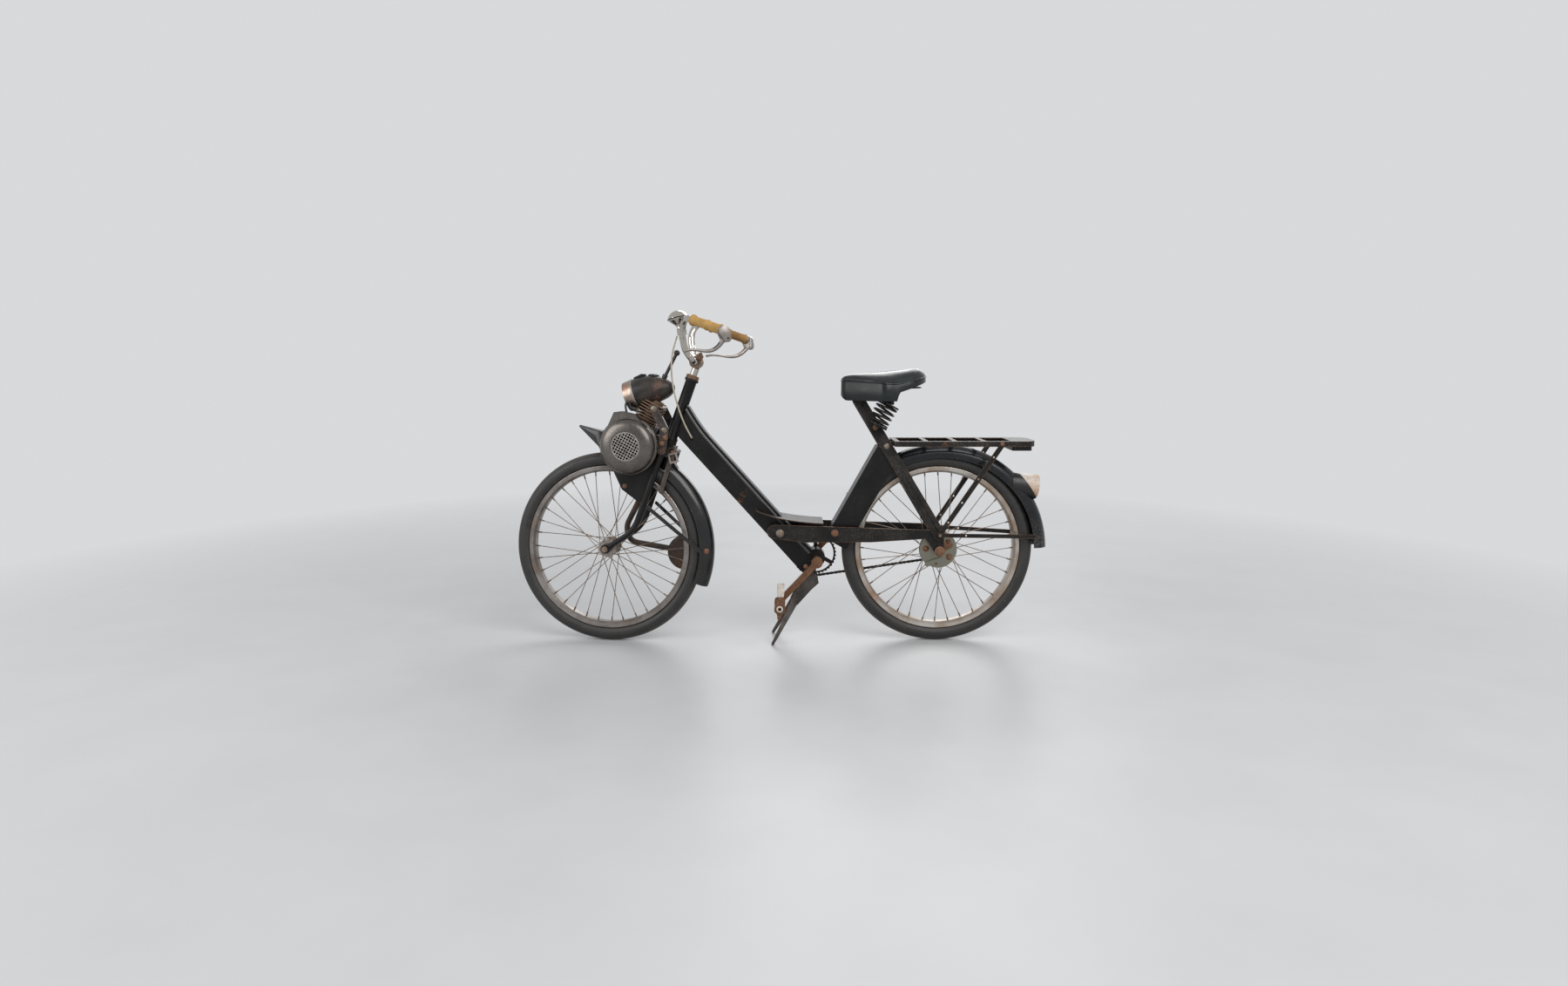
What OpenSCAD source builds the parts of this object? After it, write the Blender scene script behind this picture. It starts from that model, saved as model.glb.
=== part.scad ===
// Friction-drive moped: engine over the front wheel, step-through pressed frame, centre stand.
// X points to the rear, Y to the rider's right and Z up, all in millimetres.

/* [Wheels] */
// Distance between the two axles
wheelbase = 1000; // [950:5:1050]
// Outer radius of both tyres
tyre_r = 290; // [284:1:296]
// Width of a tyre's round section
tyre_w = 45; // [40:1:48]
// Radius of the rim's outer edge
rim_r = 248; // [244:1:250]
// Width of the rim over its edges
rim_w = 39; // [34:1:40]
// Spokes in each wheel
spoke_count = 36; // [28:4:36]
// Thickness of a spoke
spoke_d = 2.2; // [1.8:0.1:2.4]
// Radius of the front hub's flanges
front_flange_r = 27; // [22:1:32]
// Radius of the rear brake drum
drum_r = 57; // [52:1:60]
// Thickness of the front axle
front_axle_d = 10; // [8:0.5:12]
// Thickness of the rear axle
rear_axle_d = 12; // [10:0.5:14]

/* [Steering] */
// Tilt of the steering axis from upright
rake = 20; // [18:0.5:22]
// Distance of the front axle ahead of the steering axis
fork_offset = 69; // [64:1:74]
// Angle at which the bars stand, turned to the rider's right
parked_steer = 6.5; // [0:0.5:7]
// Place of the head tube's lower end along the steering axis
head_low = 380; // [374:1:386]
// Length of the head tube
head_len = 184; // [176:1:192]
// Outer radius of the head tube
head_r = 17; // [16:0.5:19]
// Radius of the steerer inside the head tube
steerer_r = 12.5; // [11:0.5:13]
// Half the distance between the fork blades' centres
fork_half = 46; // [45:0.5:48]
// Radius of a fork blade
blade_r = 10; // [8:0.5:10.5]
// Angle from upright of the blade's lower end
blade_tip_angle = 57; // [50:1:62]
// Radius of the bend near the blade's lower end
blade_bend_r = 110; // [90:5:130]
// Radius of the handlebar tube
bar_r = 10; // [9:0.5:11]
// Radius of a grip
grip_r = 13.5; // [12.5:0.5:15]
// Radius of the bell's dome
bell_r = 30; // [26:1:32]

/* [Frame] */
// Depth of the main beam, seen from the side
beam_depth = 68; // [62:1:72]
// Width of the main beam
beam_w = 48; // [44:1:50]
// Distance of the bottom bracket ahead of the rear axle
bb_x = 368; // [362:1:372]
// Height of the bottom bracket
bb_z = 260; // [256:1:266]
// Distance from the middle to the chain stays' inner faces
stay_in = 57; // [56:0.5:60]
// Thickness of the flat stays
stay_t = 4; // [3:0.5:4.5]
// Height of a chain stay
chain_stay_h = 44; // [40:1:46]
// Width of a seat stay
seat_stay_w = 35; // [30:1:38]
// Half the width of the seat beam
seat_beam_half = 36; // [35:0.5:37]
// Thickness of pressed sheet
sheet = 2.5; // [2:0.25:3]
// Height of the luggage rack's top
rack_z = 620; // [616:1:626]
// Length of the luggage rack
rack_len = 418; // [400:2:440]
// Width of the luggage rack
rack_w = 150; // [140:2:160]
// Depth of the rack's edge
rack_edge = 16; // [13:1:18]

/* [Mudguards] */
// Outer radius of the mudguards
guard_r = 325; // [322:1:330]
// Half the width of a mudguard
guard_half = 31; // [30:0.5:32]
// Depth of a mudguard's sides below its widest line
guard_skirt = 10; // [6:1:14]

/* [Saddle] */
// Height of the saddle's nose over the axles
saddle_nose_z = 521; // [515:1:530]
// Height of the saddle's rear edge over the axles
saddle_rear_z = 542; // [536:1:550]
// Half the width of the saddle at its rear corners
saddle_half = 100; // [92:1:108]
// Radius of a saddle spring's coil
spring_r = 24; // [20:1:26]
// Thickness of the spring wire
spring_wire = 5.5; // [4.5:0.5:6]

/* [Drive] */
// Length of a crank arm
crank_len = 161; // [155:1:165]
// Pitch radius of the chainring
ring_r = 69; // [66:0.5:71]
// Pitch radius of the rear sprocket
sprocket_r = 44; // [40:0.5:46]
// Distance from the middle to the chain's centre
chain_y = 48; // [47:0.5:49]
// Distance between two chain pins
chain_pitch = 12.7; // [12:0.1:13]

/* [Stand] */
// Distance of the stand's pivot ahead of the bottom bracket
stand_x = 18; // [14:1:22]
// Height of the stand's pivot
stand_z = 208; // [204:1:212]
// Distance from the middle to a foot's centre
foot_half = 66; // [62:1:68]
// Distance of the feet ahead of the bottom bracket
foot_x = 132; // [126:1:142]

/* [Engine] */
// Place of the crankshaft behind the front axle
crankshaft_x = 81; // [76:1:86]
// Gap between the drive roller and the tyre
roller_gap = 1; // [0.8:0.1:1.6]
// Radius of the drive roller
roller_r = 32; // [31:0.5:33]
// Radius of the fan cover and of the tank
bell_cover_r = 82; // [78:1:84]
// Distance from the middle to the cover's inner edge
cover_in = 61; // [60.5:0.5:63]
// Width of the fan cover
cover_w = 46; // [42:1:50]
// Radius of the fan grille
grille_r = 42.5; // [38:0.5:45]
// Distance between the grille's bars
grille_pitch = 8.2; // [7.4:0.2:9]
// Tilt of the cylinder from upright
cylinder_tilt = 28; // [24:1:30]
// Number of cooling fins
fin_count = 8; // [6:1:8]
// Distance between two fins
fin_pitch = 8.6; // [7.6:0.2:9]
// Radius of the headlamp's lens rim
lamp_r = 46; // [42:1:48]
// Radius of the silencer drum
silencer_r = 54; // [50:1:56]
// Radius of the exhaust pipe
pipe_r = 9; // [8:0.5:10]

/* [Clearances] */
// Gap between seated pieces
seat_gap = 0.25; // [0.2:0.05:0.3]
// Gap around a turning shaft
shaft_gap = 0.3; // [0.2:0.05:0.5]
// Gap between a moving piece and its neighbours
run_gap = 5.5; // [5:0.1:6]

/* [Hidden] */
$fn = 48;

front_x = -wheelbase / 2;
rear_x = wheelbase / 2;
axle_z = tyre_r;
// The rear mudguard stands a little back and down from the wheel, to leave room under the rack
guard_back = 8;
guard_drop = 8;
box_mid = (guard_r + guard_back - tyre_r) / 2;

axis_up = [sin(rake), cos(rake)];
axis_back = [cos(rake), -sin(rake)];
axis_foot = [front_x, axle_z] + fork_offset * axis_back;
function on_axis(s, back = 0) = axis_foot + s * axis_up + back * axis_back;

head_high = head_low + head_len;
rim_bed = rim_r - 12;
hub_half = 33;
beam_half = beam_w / 2;
bb_r = 27;
chain_half = 4.3;
chain_gap = 0.6;
stay_out = stay_in + stay_t;
eye = [rear_x - 2, axle_z + 50];
shaft_c = [front_x + crankshaft_x, axle_z + sqrt(pow(tyre_r + roller_gap + roller_r, 2) - pow(crankshaft_x, 2))];
crown_low = head_low - 52;
lift_pivot = on_axis(head_low - 37, -4);
crank_x = rear_x - bb_x;
stand_at = [crank_x - stand_x, stand_z];
stand_drop = [stand_x - foot_x, -stand_z];

// Helpers

// A flat plate in the side view's plane, from y to y + t
module side(y, t) {
    translate([0, y + t, 0]) rotate([90, 0, 0]) linear_extrude(t) children();
}

// The same piece on both sides
module pair() {
    children();
    mirror([0, 1, 0]) children();
}

// A round rod along Y
module cross_rod(p, r, y0, y1) {
    translate([p[0], y0, p[1]]) rotate([-90, 0, 0]) cylinder(r = r, h = y1 - y0);
}

// A bar outline with round ends between two points of the side view
module slot2d(p, q, w) {
    d = q - p;
    translate(p) circle(d = w);
    translate(q) circle(d = w);
    translate(p) rotate(atan2(d[1], d[0])) translate([0, -w / 2]) square([norm(d), w]);
}

// A round rod between two points in space
module rod(p, q, r, r2 = undef) {
    d = q - p;
    translate(p) rotate([0, acos(d[2] / norm(d)), atan2(d[1], d[0])])
        cylinder(r1 = r, r2 = is_undef(r2) ? r : r2, h = norm(d));
}

// A flat strap between two points in space, standing on edge
module strap(p, q, w, t) {
    d = q - p;
    flat = norm([d[0], d[1]]);
    translate(p) rotate([0, -atan2(d[2], flat), atan2(d[1], d[0])]) {
        translate([0, -t / 2, -w / 2]) cube([norm(d), t, w]);
        for (x = [0, norm(d)]) translate([x, t / 2, 0]) rotate([90, 0, 0]) cylinder(d = w, h = t);
    }
}

// A revolved piece whose profile gives radius and distance along Y
module around_y(c, angle = 360) {
    translate([c[0], 0, c[1]]) rotate([-90, 0, 0]) rotate_extrude(angle = angle, $fn = 96) children();
}

// An arc of a mudguard section: from one angle to another, measured from the rear upwards
module guard_arc(c, from, to) {
    translate([c[0], 0, c[1]]) rotate([90, 0, 0]) rotate([0, 0, from])
        rotate_extrude(angle = to - from, $fn = 96) children();
}

// Points of a smooth curve through three control points
function curve(a, b, c, steps) =
    [for (i = [0 : steps]) let (t = i / steps) (1 - t) * (1 - t) * a + 2 * t * (1 - t) * b + t * t * c];

// Points of a round line through a list of places, each corner rounded by a curve
function rounded(points, cut, steps) = [
    for (i = [0 : len(points) - 1])
        if (i == 0 || i == len(points) - 1) points[i]
        else let (
            a = points[i - 1] - points[i],
            b = points[i + 1] - points[i],
            k = min(cut, norm(a) / 2.05, norm(b) / 2.05)
        ) each curve(points[i] + a / norm(a) * k, points[i], points[i] + b / norm(b) * k, steps)
];

function unit(v) = v / norm(v);
function heading(path, i) =
    i == 0 ? unit(path[1] - path[0]) :
    i == len(path) - 1 ? unit(path[i] - path[i - 1]) :
    unit(unit(path[i + 1] - path[i]) + unit(path[i] - path[i - 1]));

// A tube of changing radius along a path, sides taken square to a fixed direction
module tube(path, radii, sides, up) {
    rings = len(path);
    points = [
        for (i = [0 : rings - 1])
            let (d = heading(path, i), a = unit(cross(up, d)), b = cross(d, a), r = radii(i / (rings - 1)))
            for (k = [0 : sides - 1]) path[i] + r * (cos(360 * k / sides) * a + sin(360 * k / sides) * b)
    ];
    faces = concat(
        [[for (k = [0 : sides - 1]) k]],
        [[for (k = [0 : sides - 1]) rings * sides - 1 - k]],
        [for (i = [0 : rings - 2]) for (k = [0 : sides - 1])
            let (n = (k + 1) % sides, lo = i * sides, hi = lo + sides) each [
                [lo + k, hi + n, lo + n], [lo + k, hi + k, hi + n]
            ]]
    );
    polyhedron(points, faces);
}

// Everything is drawn about the middle of the axles and moved so that its box is centred
module placed() {
    translate([-box_mid, 0, 0]) children();
}

// What turns with the bars stands turned by the parked angle
module steered() {
    translate([axis_foot[0], 0, axis_foot[1]]) rotate([0, rake, 0]) rotate([0, 0, -parked_steer])
        rotate([0, -rake, 0]) translate([-axis_foot[0], 0, -axis_foot[1]]) children();
}

// A round rod along the steering axis
module axis_rod(s0, s1, r) {
    p = on_axis(s0);
    translate([p[0], 0, p[1]]) rotate([0, rake, 0]) cylinder(r = r, h = s1 - s0);
}

// Wheels

module tyre_section() {
    bulge = tyre_w / 2;
    foot = rim_w / 2 - 4 - seat_gap;
    difference() {
        union() {
            translate([tyre_r - bulge, 0]) circle(bulge);
            translate([rim_bed + 4, -foot]) square([tyre_r - bulge - rim_bed - 4, foot * 2]);
        }
        translate([0, -tyre_w]) square([rim_bed + 4, tyre_w * 2]);
    }
}

module rim_section() {
    half = rim_w / 2;
    bed = rim_bed + 4 - seat_gap;
    polygon([
        [rim_bed - 4, -half + 9], [rim_bed - 4, half - 9], [rim_bed + 2, half - 1], [rim_r, half],
        [rim_r + 1.4, half - 0.8], [rim_r + 1.4, half - 2], [rim_r, half - 2.6], [bed, half - 4],
        [bed, -half + 4], [rim_r, -half + 2.6], [rim_r + 1.4, -half + 2], [rim_r + 1.4, -half + 0.8],
        [rim_r, -half], [rim_bed + 2, -half + 1]
    ]);
}

// Spokes lean along the hub's edge in turn, and cross without touching
module spokes(c, hub_r_left, hub_r_right) {
    step = 360 / spoke_count;
    lean_arc = 25;
    rim_end = rim_bed - 1.5;
    for (i = [0 : spoke_count - 1]) {
        right = i % 2;
        out = floor(i / 2) % 2;
        hub_r = (right ? hub_r_right : hub_r_left) - 4;
        sense = right ? 1 : -1;
        rim_a = i * step;
        lean = lean_arc / hub_r * 180 / PI;
        hub_a = rim_a + (out ? lean : -lean);
        hub_y = sense * (hub_half - 3 + (out ? 2.2 : -2.2));
        p = [c[0] + hub_r * cos(hub_a), hub_y, c[1] + hub_r * sin(hub_a)];
        q = [c[0] + rim_end * cos(rim_a), sense * 4, c[1] + rim_end * sin(rim_a)];
        rod(p, q, spoke_d / 2, $fn = 16);
        rod(q + (p - q) * 0.065, q, spoke_d, $fn = 16);
    }
}

module front_tyre() {
    color("#2b2826") placed() steered() around_y([front_x, axle_z]) tyre_section();
}

module rear_tyre() {
    color("#2b2826") placed() around_y([rear_x, axle_z]) tyre_section();
}

module front_rim() {
    color("#8d8781") placed() steered() around_y([front_x, axle_z]) rim_section();
}

module rear_rim() {
    color("#7a5a3c") placed() around_y([rear_x, axle_z]) rim_section();
}

module front_spokes() {
    color("#7b6f63") placed() steered() spokes([front_x, axle_z], front_flange_r, front_flange_r);
}

module rear_spokes() {
    color("#7b6f63") placed() spokes([rear_x, axle_z], drum_r, front_flange_r + 8);
}

module front_hub() {
    bore_r = front_axle_d / 2 + shaft_gap;
    flange_y = hub_half - 3;
    color("#a79f92") placed() steered() around_y([front_x, axle_z]) difference() {
        union() {
            translate([0, -hub_half]) square([front_flange_r - 11, hub_half * 2]);
            for (s = [-1, 1]) translate([0, s * flange_y - 1.3]) square([front_flange_r, 2.6]);
        }
        translate([-1, -hub_half - 1]) square([bore_r + 1, hub_half * 2 + 2]);
    }
}

// Brake drum on the left, spoke flange and sprocket on the right
module rear_hub() {
    bore_r = rear_axle_d / 2 + shaft_gap;
    right_r = front_flange_r + 8;
    flange_y = hub_half - 3;
    color("#7d7a6d") placed() difference() {
        union() {
            around_y([rear_x, axle_z]) difference() {
                union() {
                    polygon([
                        [0, -hub_half], [drum_r - 3, -hub_half], [drum_r - 3, -flange_y - 1.3],
                        [drum_r, -flange_y - 1.3], [drum_r, -flange_y + 1.3], [drum_r - 5, -flange_y + 1.3],
                        [drum_r - 7, -8], [24, 2], [24, flange_y - 1.3], [right_r, flange_y - 1.3],
                        [right_r, flange_y + 1.3], [24, flange_y + 1.3], [24, chain_y - 1.5], [0, chain_y - 1.5]
                    ]);
                }
                translate([-1, -hub_half - 1]) square([bore_r + 1, hub_half + chain_y + 4]);
                translate([0, -hub_half - 1]) square([drum_r - 8, 18]);
            }
            translate([rear_x, chain_y - 1.5, axle_z]) toothed(sprocket_r, 3);
        }
        cross_rod([rear_x, axle_z], bore_r, chain_y - 3, chain_y + 3);
    }
}

// A toothed disc whose teeth end just inside the chain's plates
module toothed(pitch_r, t) {
    teeth = round(2 * PI * pitch_r / chain_pitch);
    tip_r = pitch_r - chain_half - chain_gap;
    rotate([-90, 0, 0]) linear_extrude(t) difference() {
        circle(tip_r);
        for (i = [0 : teeth - 1]) rotate(i * 360 / teeth) translate([tip_r + 0.8, 0]) circle(3.6, $fn = 24);
    }
}

// Frame

module head_tube() {
    bore = steerer_r + shaft_gap;
    color("#191a1b") placed() difference() {
        union() {
            axis_rod(head_low, head_high, head_r);
            axis_rod(head_low - 8, head_low + 3, head_r + 3);
            axis_rod(head_high - 3, head_high + 5, head_r + 4);
        }
        axis_rod(head_low - 20, head_high + 20, bore);
    }
}

beam_low = on_axis(head_low + 13, head_r + 4);
beam_high = on_axis(head_low + 110, head_r + 2);
cable_hole = beam_low + [41, -4];
cable_r = 2.4;
beam_tip = [crank_x - 46, bb_z - 41];
beam_dir = unit(beam_tip - beam_low);
beam_side = [-beam_dir[1], beam_dir[0]];
beam_knee = beam_low + beam_dir * 66 + beam_side * (beam_depth + 2);
beam_end = beam_low + beam_dir * (norm(beam_tip - beam_low) - 26) + beam_side * beam_depth;

module beam_outline(grow = 0) {
    polygon(concat(
        [beam_low - grow * beam_side, beam_tip - grow * beam_side, [crank_x + 6, bb_z - bb_r - grow],
            [crank_x + bb_r + grow, bb_z + 4], beam_end + grow * beam_side],
        curve(beam_knee + grow * beam_side, beam_knee - beam_dir * 48 + grow * beam_side,
            beam_high + grow * beam_side, 8)
    ));
    translate([crank_x, bb_z]) circle(bb_r + grow);
    hull() {
        translate(stand_at) circle(15 + grow, $fn = 32);
        translate([crank_x - 12, bb_z - 14]) circle(15 + grow, $fn = 32);
    }
}

// Pressed beam with a raised edge along its top, the bottom bracket and the stand's lug
module main_beam() {
    ridge = 2;
    inset = 9;
    color("#17181a") placed() difference() {
        union() {
            side(-beam_half, beam_w) beam_outline();
            side(-beam_half - ridge, beam_w + 2 * ridge) polygon(concat(
                [beam_end - beam_side * inset], [beam_end - beam_side * (inset + 6)],
                [for (p = curve(beam_knee, beam_knee - beam_dir * 48, beam_high, 8)) p - beam_side * (inset + 6)],
                [for (p = curve(beam_high, beam_knee - beam_dir * 48, beam_knee, 8)) p - beam_side * inset]
            ));
            cross_rod([crank_x, bb_z], bb_r - 5, -beam_half - 2.5, beam_half + 2.5);
        }
        cross_rod([crank_x, bb_z], 9 + shaft_gap, -100, 100);
        cross_rod(stand_at, 7 + shaft_gap, -100, 100);
        axis_rod(head_low - 30, head_high + 30, head_r + seat_gap);
        axis_rod(head_low - 30, head_low + 3 + seat_gap, head_r + 3 + seat_gap);
        cross_rod(cable_hole, cable_r + 0.8, -beam_half - 5, -beam_half + 8);
    }
}

// Step plate: a bent sheet that straddles the beam
module footboard() {
    half = stay_in + stay_t / 2;
    start = beam_tip - beam_dir * 233 + beam_side * (beam_depth - 39);
    finish = [start[0] + 200, axle_z + 83];
    knee = [start[0] + 62, finish[1] + 7];
    color("#1c1d1e") placed() difference() {
        side(-half, half * 2) polygon(concat(
            curve(start, knee, finish, 10),
            [for (p = curve(finish, knee, start, 10)) p - [0, 3]]
        ));
        side(-beam_half - 2.5, beam_w + 5) beam_outline(seat_gap);
        side(-beam_half - 2.5, beam_w + 5) translate(start - [30, 60]) square([30, 80]);
    }
}

seat_foot = [rear_x - 321, axle_z + 72];
seat_head = [rear_x - 187, axle_z + 314];

// Pressed channel that stands in front of the rear wheel, open to the rear
module seat_beam() {
    wall = sheet + 0.5;
    d = unit(seat_head - seat_foot);
    s = [d[1], -d[0]];
    low = seat_foot - d * 44;
    rear_low = low + s * 72;
    rear_high = seat_head + s * 74 - d * 26;
    color("#17181a") placed() difference() {
        side(-seat_beam_half, seat_beam_half * 2) polygon([low, rear_low, rear_high, seat_head + s * 20, seat_head]);
        side(-seat_beam_half + wall, (seat_beam_half - wall) * 2) polygon([
            low + s * wall - d * 10, rear_low + s * 20 - d * 10, rear_high + s * 20 + d * 40,
            seat_head + s * wall + d * 40
        ]);
    }
}

stay_front = [seat_foot[0] - 171, axle_z + 57];
stay_bolt = [seat_foot[0] + 7, axle_z + 54];

// Flat bars from the beam to the rear axle, held off the beam by spacers
module chain_stays() {
    color("#1a1a1b") placed() pair() difference() {
        union() {
            side(-stay_out, stay_t) {
                polygon([
                    stay_front + [-6, chain_stay_h / 2], [eye[0] - 20, eye[1] + 13], [eye[0], eye[1] + 16],
                    [eye[0] + 14, eye[1]], [rear_x + 16, axle_z], [rear_x, axle_z - 18], [rear_x - 18, axle_z],
                    [eye[0] - 40, eye[1] - 14], [rear_x - 205, axle_z + 26], [stay_front[0] + 86, axle_z + 25],
                    stay_front + [-6, -chain_stay_h / 2 + 3]
                ]);
                translate(stay_front + [-4, 0]) circle(chain_stay_h / 2 - 1);
            }
            cross_rod(stay_front + [14, -4], 9, -stay_in - 1, -beam_half - 2 - seat_gap);
            cross_rod(stay_bolt, 6, -stay_in - 1, -seat_beam_half - seat_gap);
        }
        cross_rod([rear_x, axle_z], rear_axle_d / 2 + seat_gap, -100, 0);
        cross_rod(eye, 4 + seat_gap, -100, 0);
    }
}

seat_stay_in = stay_out + seat_gap + 2;
seat_top = [rear_x - 242, axle_z + 448];
seat_flare = atan((seat_stay_in - seat_beam_half - 0.6) / (seat_head[1] - 6 - eye[1]));
spring_seat = eye + (seat_top - eye) * 0.82 + [10, -2];
spring_lean = 30;

// Places a piece in the plane of the near seat stay
module in_stay_plane() {
    translate([0, -seat_stay_in, eye[1]]) rotate([-seat_flare, 0, 0]) translate([0, seat_stay_in, -eye[1]]) children();
}

// Flat bars from the axle's eye up to the saddle, leaning in
module seat_stays() {
    color("#1a1a1b") placed() pair() difference() {
        in_stay_plane() side(-seat_stay_in - stay_t, stay_t) hull() {
            translate(eye) circle(d = seat_stay_w);
            translate(seat_top) circle(d = seat_stay_w);
        }
        cross_rod(eye, 4 + seat_gap, -100, 0);
        cross_rod(spring_seat, 5 + seat_gap, -100, 0);
        cross_rod(seat_top, 6 + seat_gap, -100, 0);
    }
}

saddle_nose = rear_x - 297;
saddle_corner = rear_x - 148;
saddle_tail = rear_x - 42;
saddle_base = axle_z + 488;
saddle_hem = axle_z + 448;

module saddle_plan(inset = 0) {
    hull() {
        translate([saddle_nose + 28, 0]) circle(28 - inset, $fn = 32);
        for (s = [-1, 1]) translate([saddle_corner - 20, s * (saddle_half - 34)]) circle(34 - inset, $fn = 32);
        translate([saddle_tail - 82, 0]) circle(82 - inset, $fn = 48);
    }
}

// Cushion with a deep hem round the nose and sides
module saddle() {
    wall = 5;
    slope = atan((saddle_rear_z - saddle_nose_z) / (saddle_tail - saddle_nose));
    color("#16181a") placed() union() {
        hull() {
            translate([0, 0, saddle_base]) linear_extrude(12) saddle_plan();
            translate([saddle_nose, 0, axle_z + saddle_nose_z - 1]) rotate([0, -slope, 0])
                translate([-saddle_nose, 0, 0]) linear_extrude(1) saddle_plan(16);
        }
        difference() {
            translate([0, 0, saddle_hem]) linear_extrude(saddle_base - saddle_hem + 4) difference() {
                saddle_plan(0.5);
                saddle_plan(wall);
            }
            translate([saddle_corner + 10, -200, 0]) cube([300, 400, saddle_base]);
        }
    }
}

// Base plate, nose clamp and spring posts under the cushion
module saddle_mount() {
    plate_z = saddle_base - seat_gap - 4;
    post = spring_top();
    color("#2a2522") placed() {
        translate([0, 0, plate_z]) linear_extrude(4) saddle_plan(14);
        difference() {
            union() {
                cross_rod(seat_top, 6, -38, 38);
                translate([seat_top[0] - 14, -16, seat_top[1] - 12]) cube([28, 32, plate_z - seat_top[1] + 12.5]);
            }
        }
        for (s = [-1, 1]) {
            translate([post[0], s * spring_y, post[1] + 4]) cylinder(r = 12, h = plate_z - post[1] - 3);
            translate([post[0], s * spring_y, post[1]]) rotate([0, spring_lean, 0]) cylinder(r = spring_r + 3, h = 5);
        }
        cross_rod(spring_seat, 5, -spring_y - 14, spring_y + 14);
        for (s = [-1, 1]) translate([spring_seat[0], s * spring_y, spring_seat[1]]) rotate([0, spring_lean, 0])
            cylinder(r = spring_r + 3, h = 6);
    }
}

spring_y = 64;
spring_len = 62;
function spring_top() = spring_seat + (spring_len + 6) * [sin(spring_lean), cos(spring_lean)];

// Two open coil springs
module saddle_springs() {
    turns = 4.5;
    steps = 72;
    wire = spring_wire / 2;
    rise = spring_len - spring_wire - 2 * seat_gap;
    coil = [for (i = [0 : steps]) let (a = 360 * turns * i / steps)
        [spring_r * cos(a), spring_r * sin(a), wire + seat_gap + rise * i / steps]];
    color("#141414") placed() for (s = [-1, 1])
        translate([spring_seat[0], s * spring_y, spring_seat[1]]) rotate([0, spring_lean, 0]) translate([0, 0, 6])
            tube(coil, function (t) wire, 8, [0, 0, 1]);
}

rack_front = rear_x - 140;

// Pressed rack: rim, three cross slats and a closed rear plate
module luggage_rack() {
    rear_plate = 74;
    rail = 15;
    slat = 14;
    windows = 4;
    pad_depth = 29;
    pad_far = 58;
    pad_near = 20;
    open_len = rack_len - rear_plate - rail;
    step = (open_len + slat) / windows;
    tab_y = seat_stay_in - tan(seat_flare) * (rack_z - 3 - eye[1]) - seat_gap;
    color("#1b1b1c") placed() union() {
        difference() {
            translate([0, 0, rack_z - rack_edge]) linear_extrude(rack_edge) rack_plan(0);
            translate([0, 0, rack_z - rack_edge - 1]) linear_extrude(rack_edge + 1 - sheet) rack_plan(sheet);
            for (i = [0 : windows - 1])
                translate([rack_front + rail + i * step, -rack_w / 2 + rail, rack_z - 20])
                    cube([step - slat, rack_w - 2 * rail, 40]);
        }
        pair() translate([rack_front - 26, -tab_y, rack_z - rack_edge]) cube([30, 3, rack_edge - 3]);
        translate([0, 0, rack_z - pad_depth]) linear_extrude(pad_depth - 1) hull()
            for (x = [-pad_far, -pad_near], s = [-1, 1])
                translate([rack_front + rack_len + x, s * (rack_w / 2 - 24)]) circle(10);
    }
}

module rack_plan(inset) {
    bend = 38;
    x1 = rack_front + rack_len - inset;
    half = rack_w / 2 - inset;
    polygon(concat(
        [[rack_front + inset, -half], [x1 - bend, -half]],
        [for (a = [-90 : 15 : 0]) [x1 - bend + (bend - 4) * cos(a) + 4, -half + bend + bend * sin(a)]],
        [for (a = [0 : 15 : 90]) [x1 - bend + (bend - 4) * cos(a) + 4, half - bend + bend * sin(a)]],
        [[x1 - bend, half], [rack_front + inset, half]]
    ));
}

strut_top = [rack_front + 316, rack_z - 9];
guard_c = [rear_x + guard_back, axle_z - guard_drop];

// Flat struts of the rack and stays of the rear mudguard
module rear_struts() {
    strut_in = seat_stay_in + stay_t + 2.5;
    color("#1a1a1b") placed() pair() {
        difference() {
            strap([eye[0], -strut_in - 1.5, eye[1]], [strut_top[0], -rack_w / 2 - 2 - seat_gap, strut_top[1]], 15, 3);
            cross_rod(eye, 4 + seat_gap, -100, 0);
            for (k = [0.14, 0.36, 0.62, 0.86])
                cross_rod(eye + k * (strut_top - eye), 2.6, -100, 0);
        }
        difference() {
            strap([eye[0], -strut_in - 7.5, eye[1]],
                [guard_c[0] + guard_r - 42, -guard_half - 2.6, eye[1] - 12], 12, 3);
            cross_rod(eye, 4 + seat_gap, -100, 0);
            cross_rod(eye + [80, -3], 2.6, -100, 0);
        }
    }
}

// A mudguard's arched section
module guard_section(wall) {
    c = guard_r - guard_half;
    intersection() {
        union() {
            translate([c, 0]) difference() {
                circle(guard_half);
                circle(guard_half - wall);
            }
            for (s = [-1, 1]) translate([c - guard_skirt, s * (guard_half - wall / 2) - wall / 2])
                square([guard_skirt, wall]);
        }
        translate([c - guard_skirt, -50]) square([200, 100]);
    }
}

// A mudguard's section filled in, for what is seated on it
module guard_fill(grow) {
    c = guard_r - guard_half;
    translate([c, 0]) circle(guard_half + grow);
    translate([c - 60, -guard_half - grow]) square([60, (guard_half + grow) * 2]);
}

module rear_mudguard() {
    color("#15171a") placed() guard_arc(guard_c, 2, 140) guard_section(1.6);
}

tail_axis = 8;
tail_reach = 80;
tail_lens_r = 33;
tail_c = guard_c + (guard_r - 30) * [cos(44), sin(44)];

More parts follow.
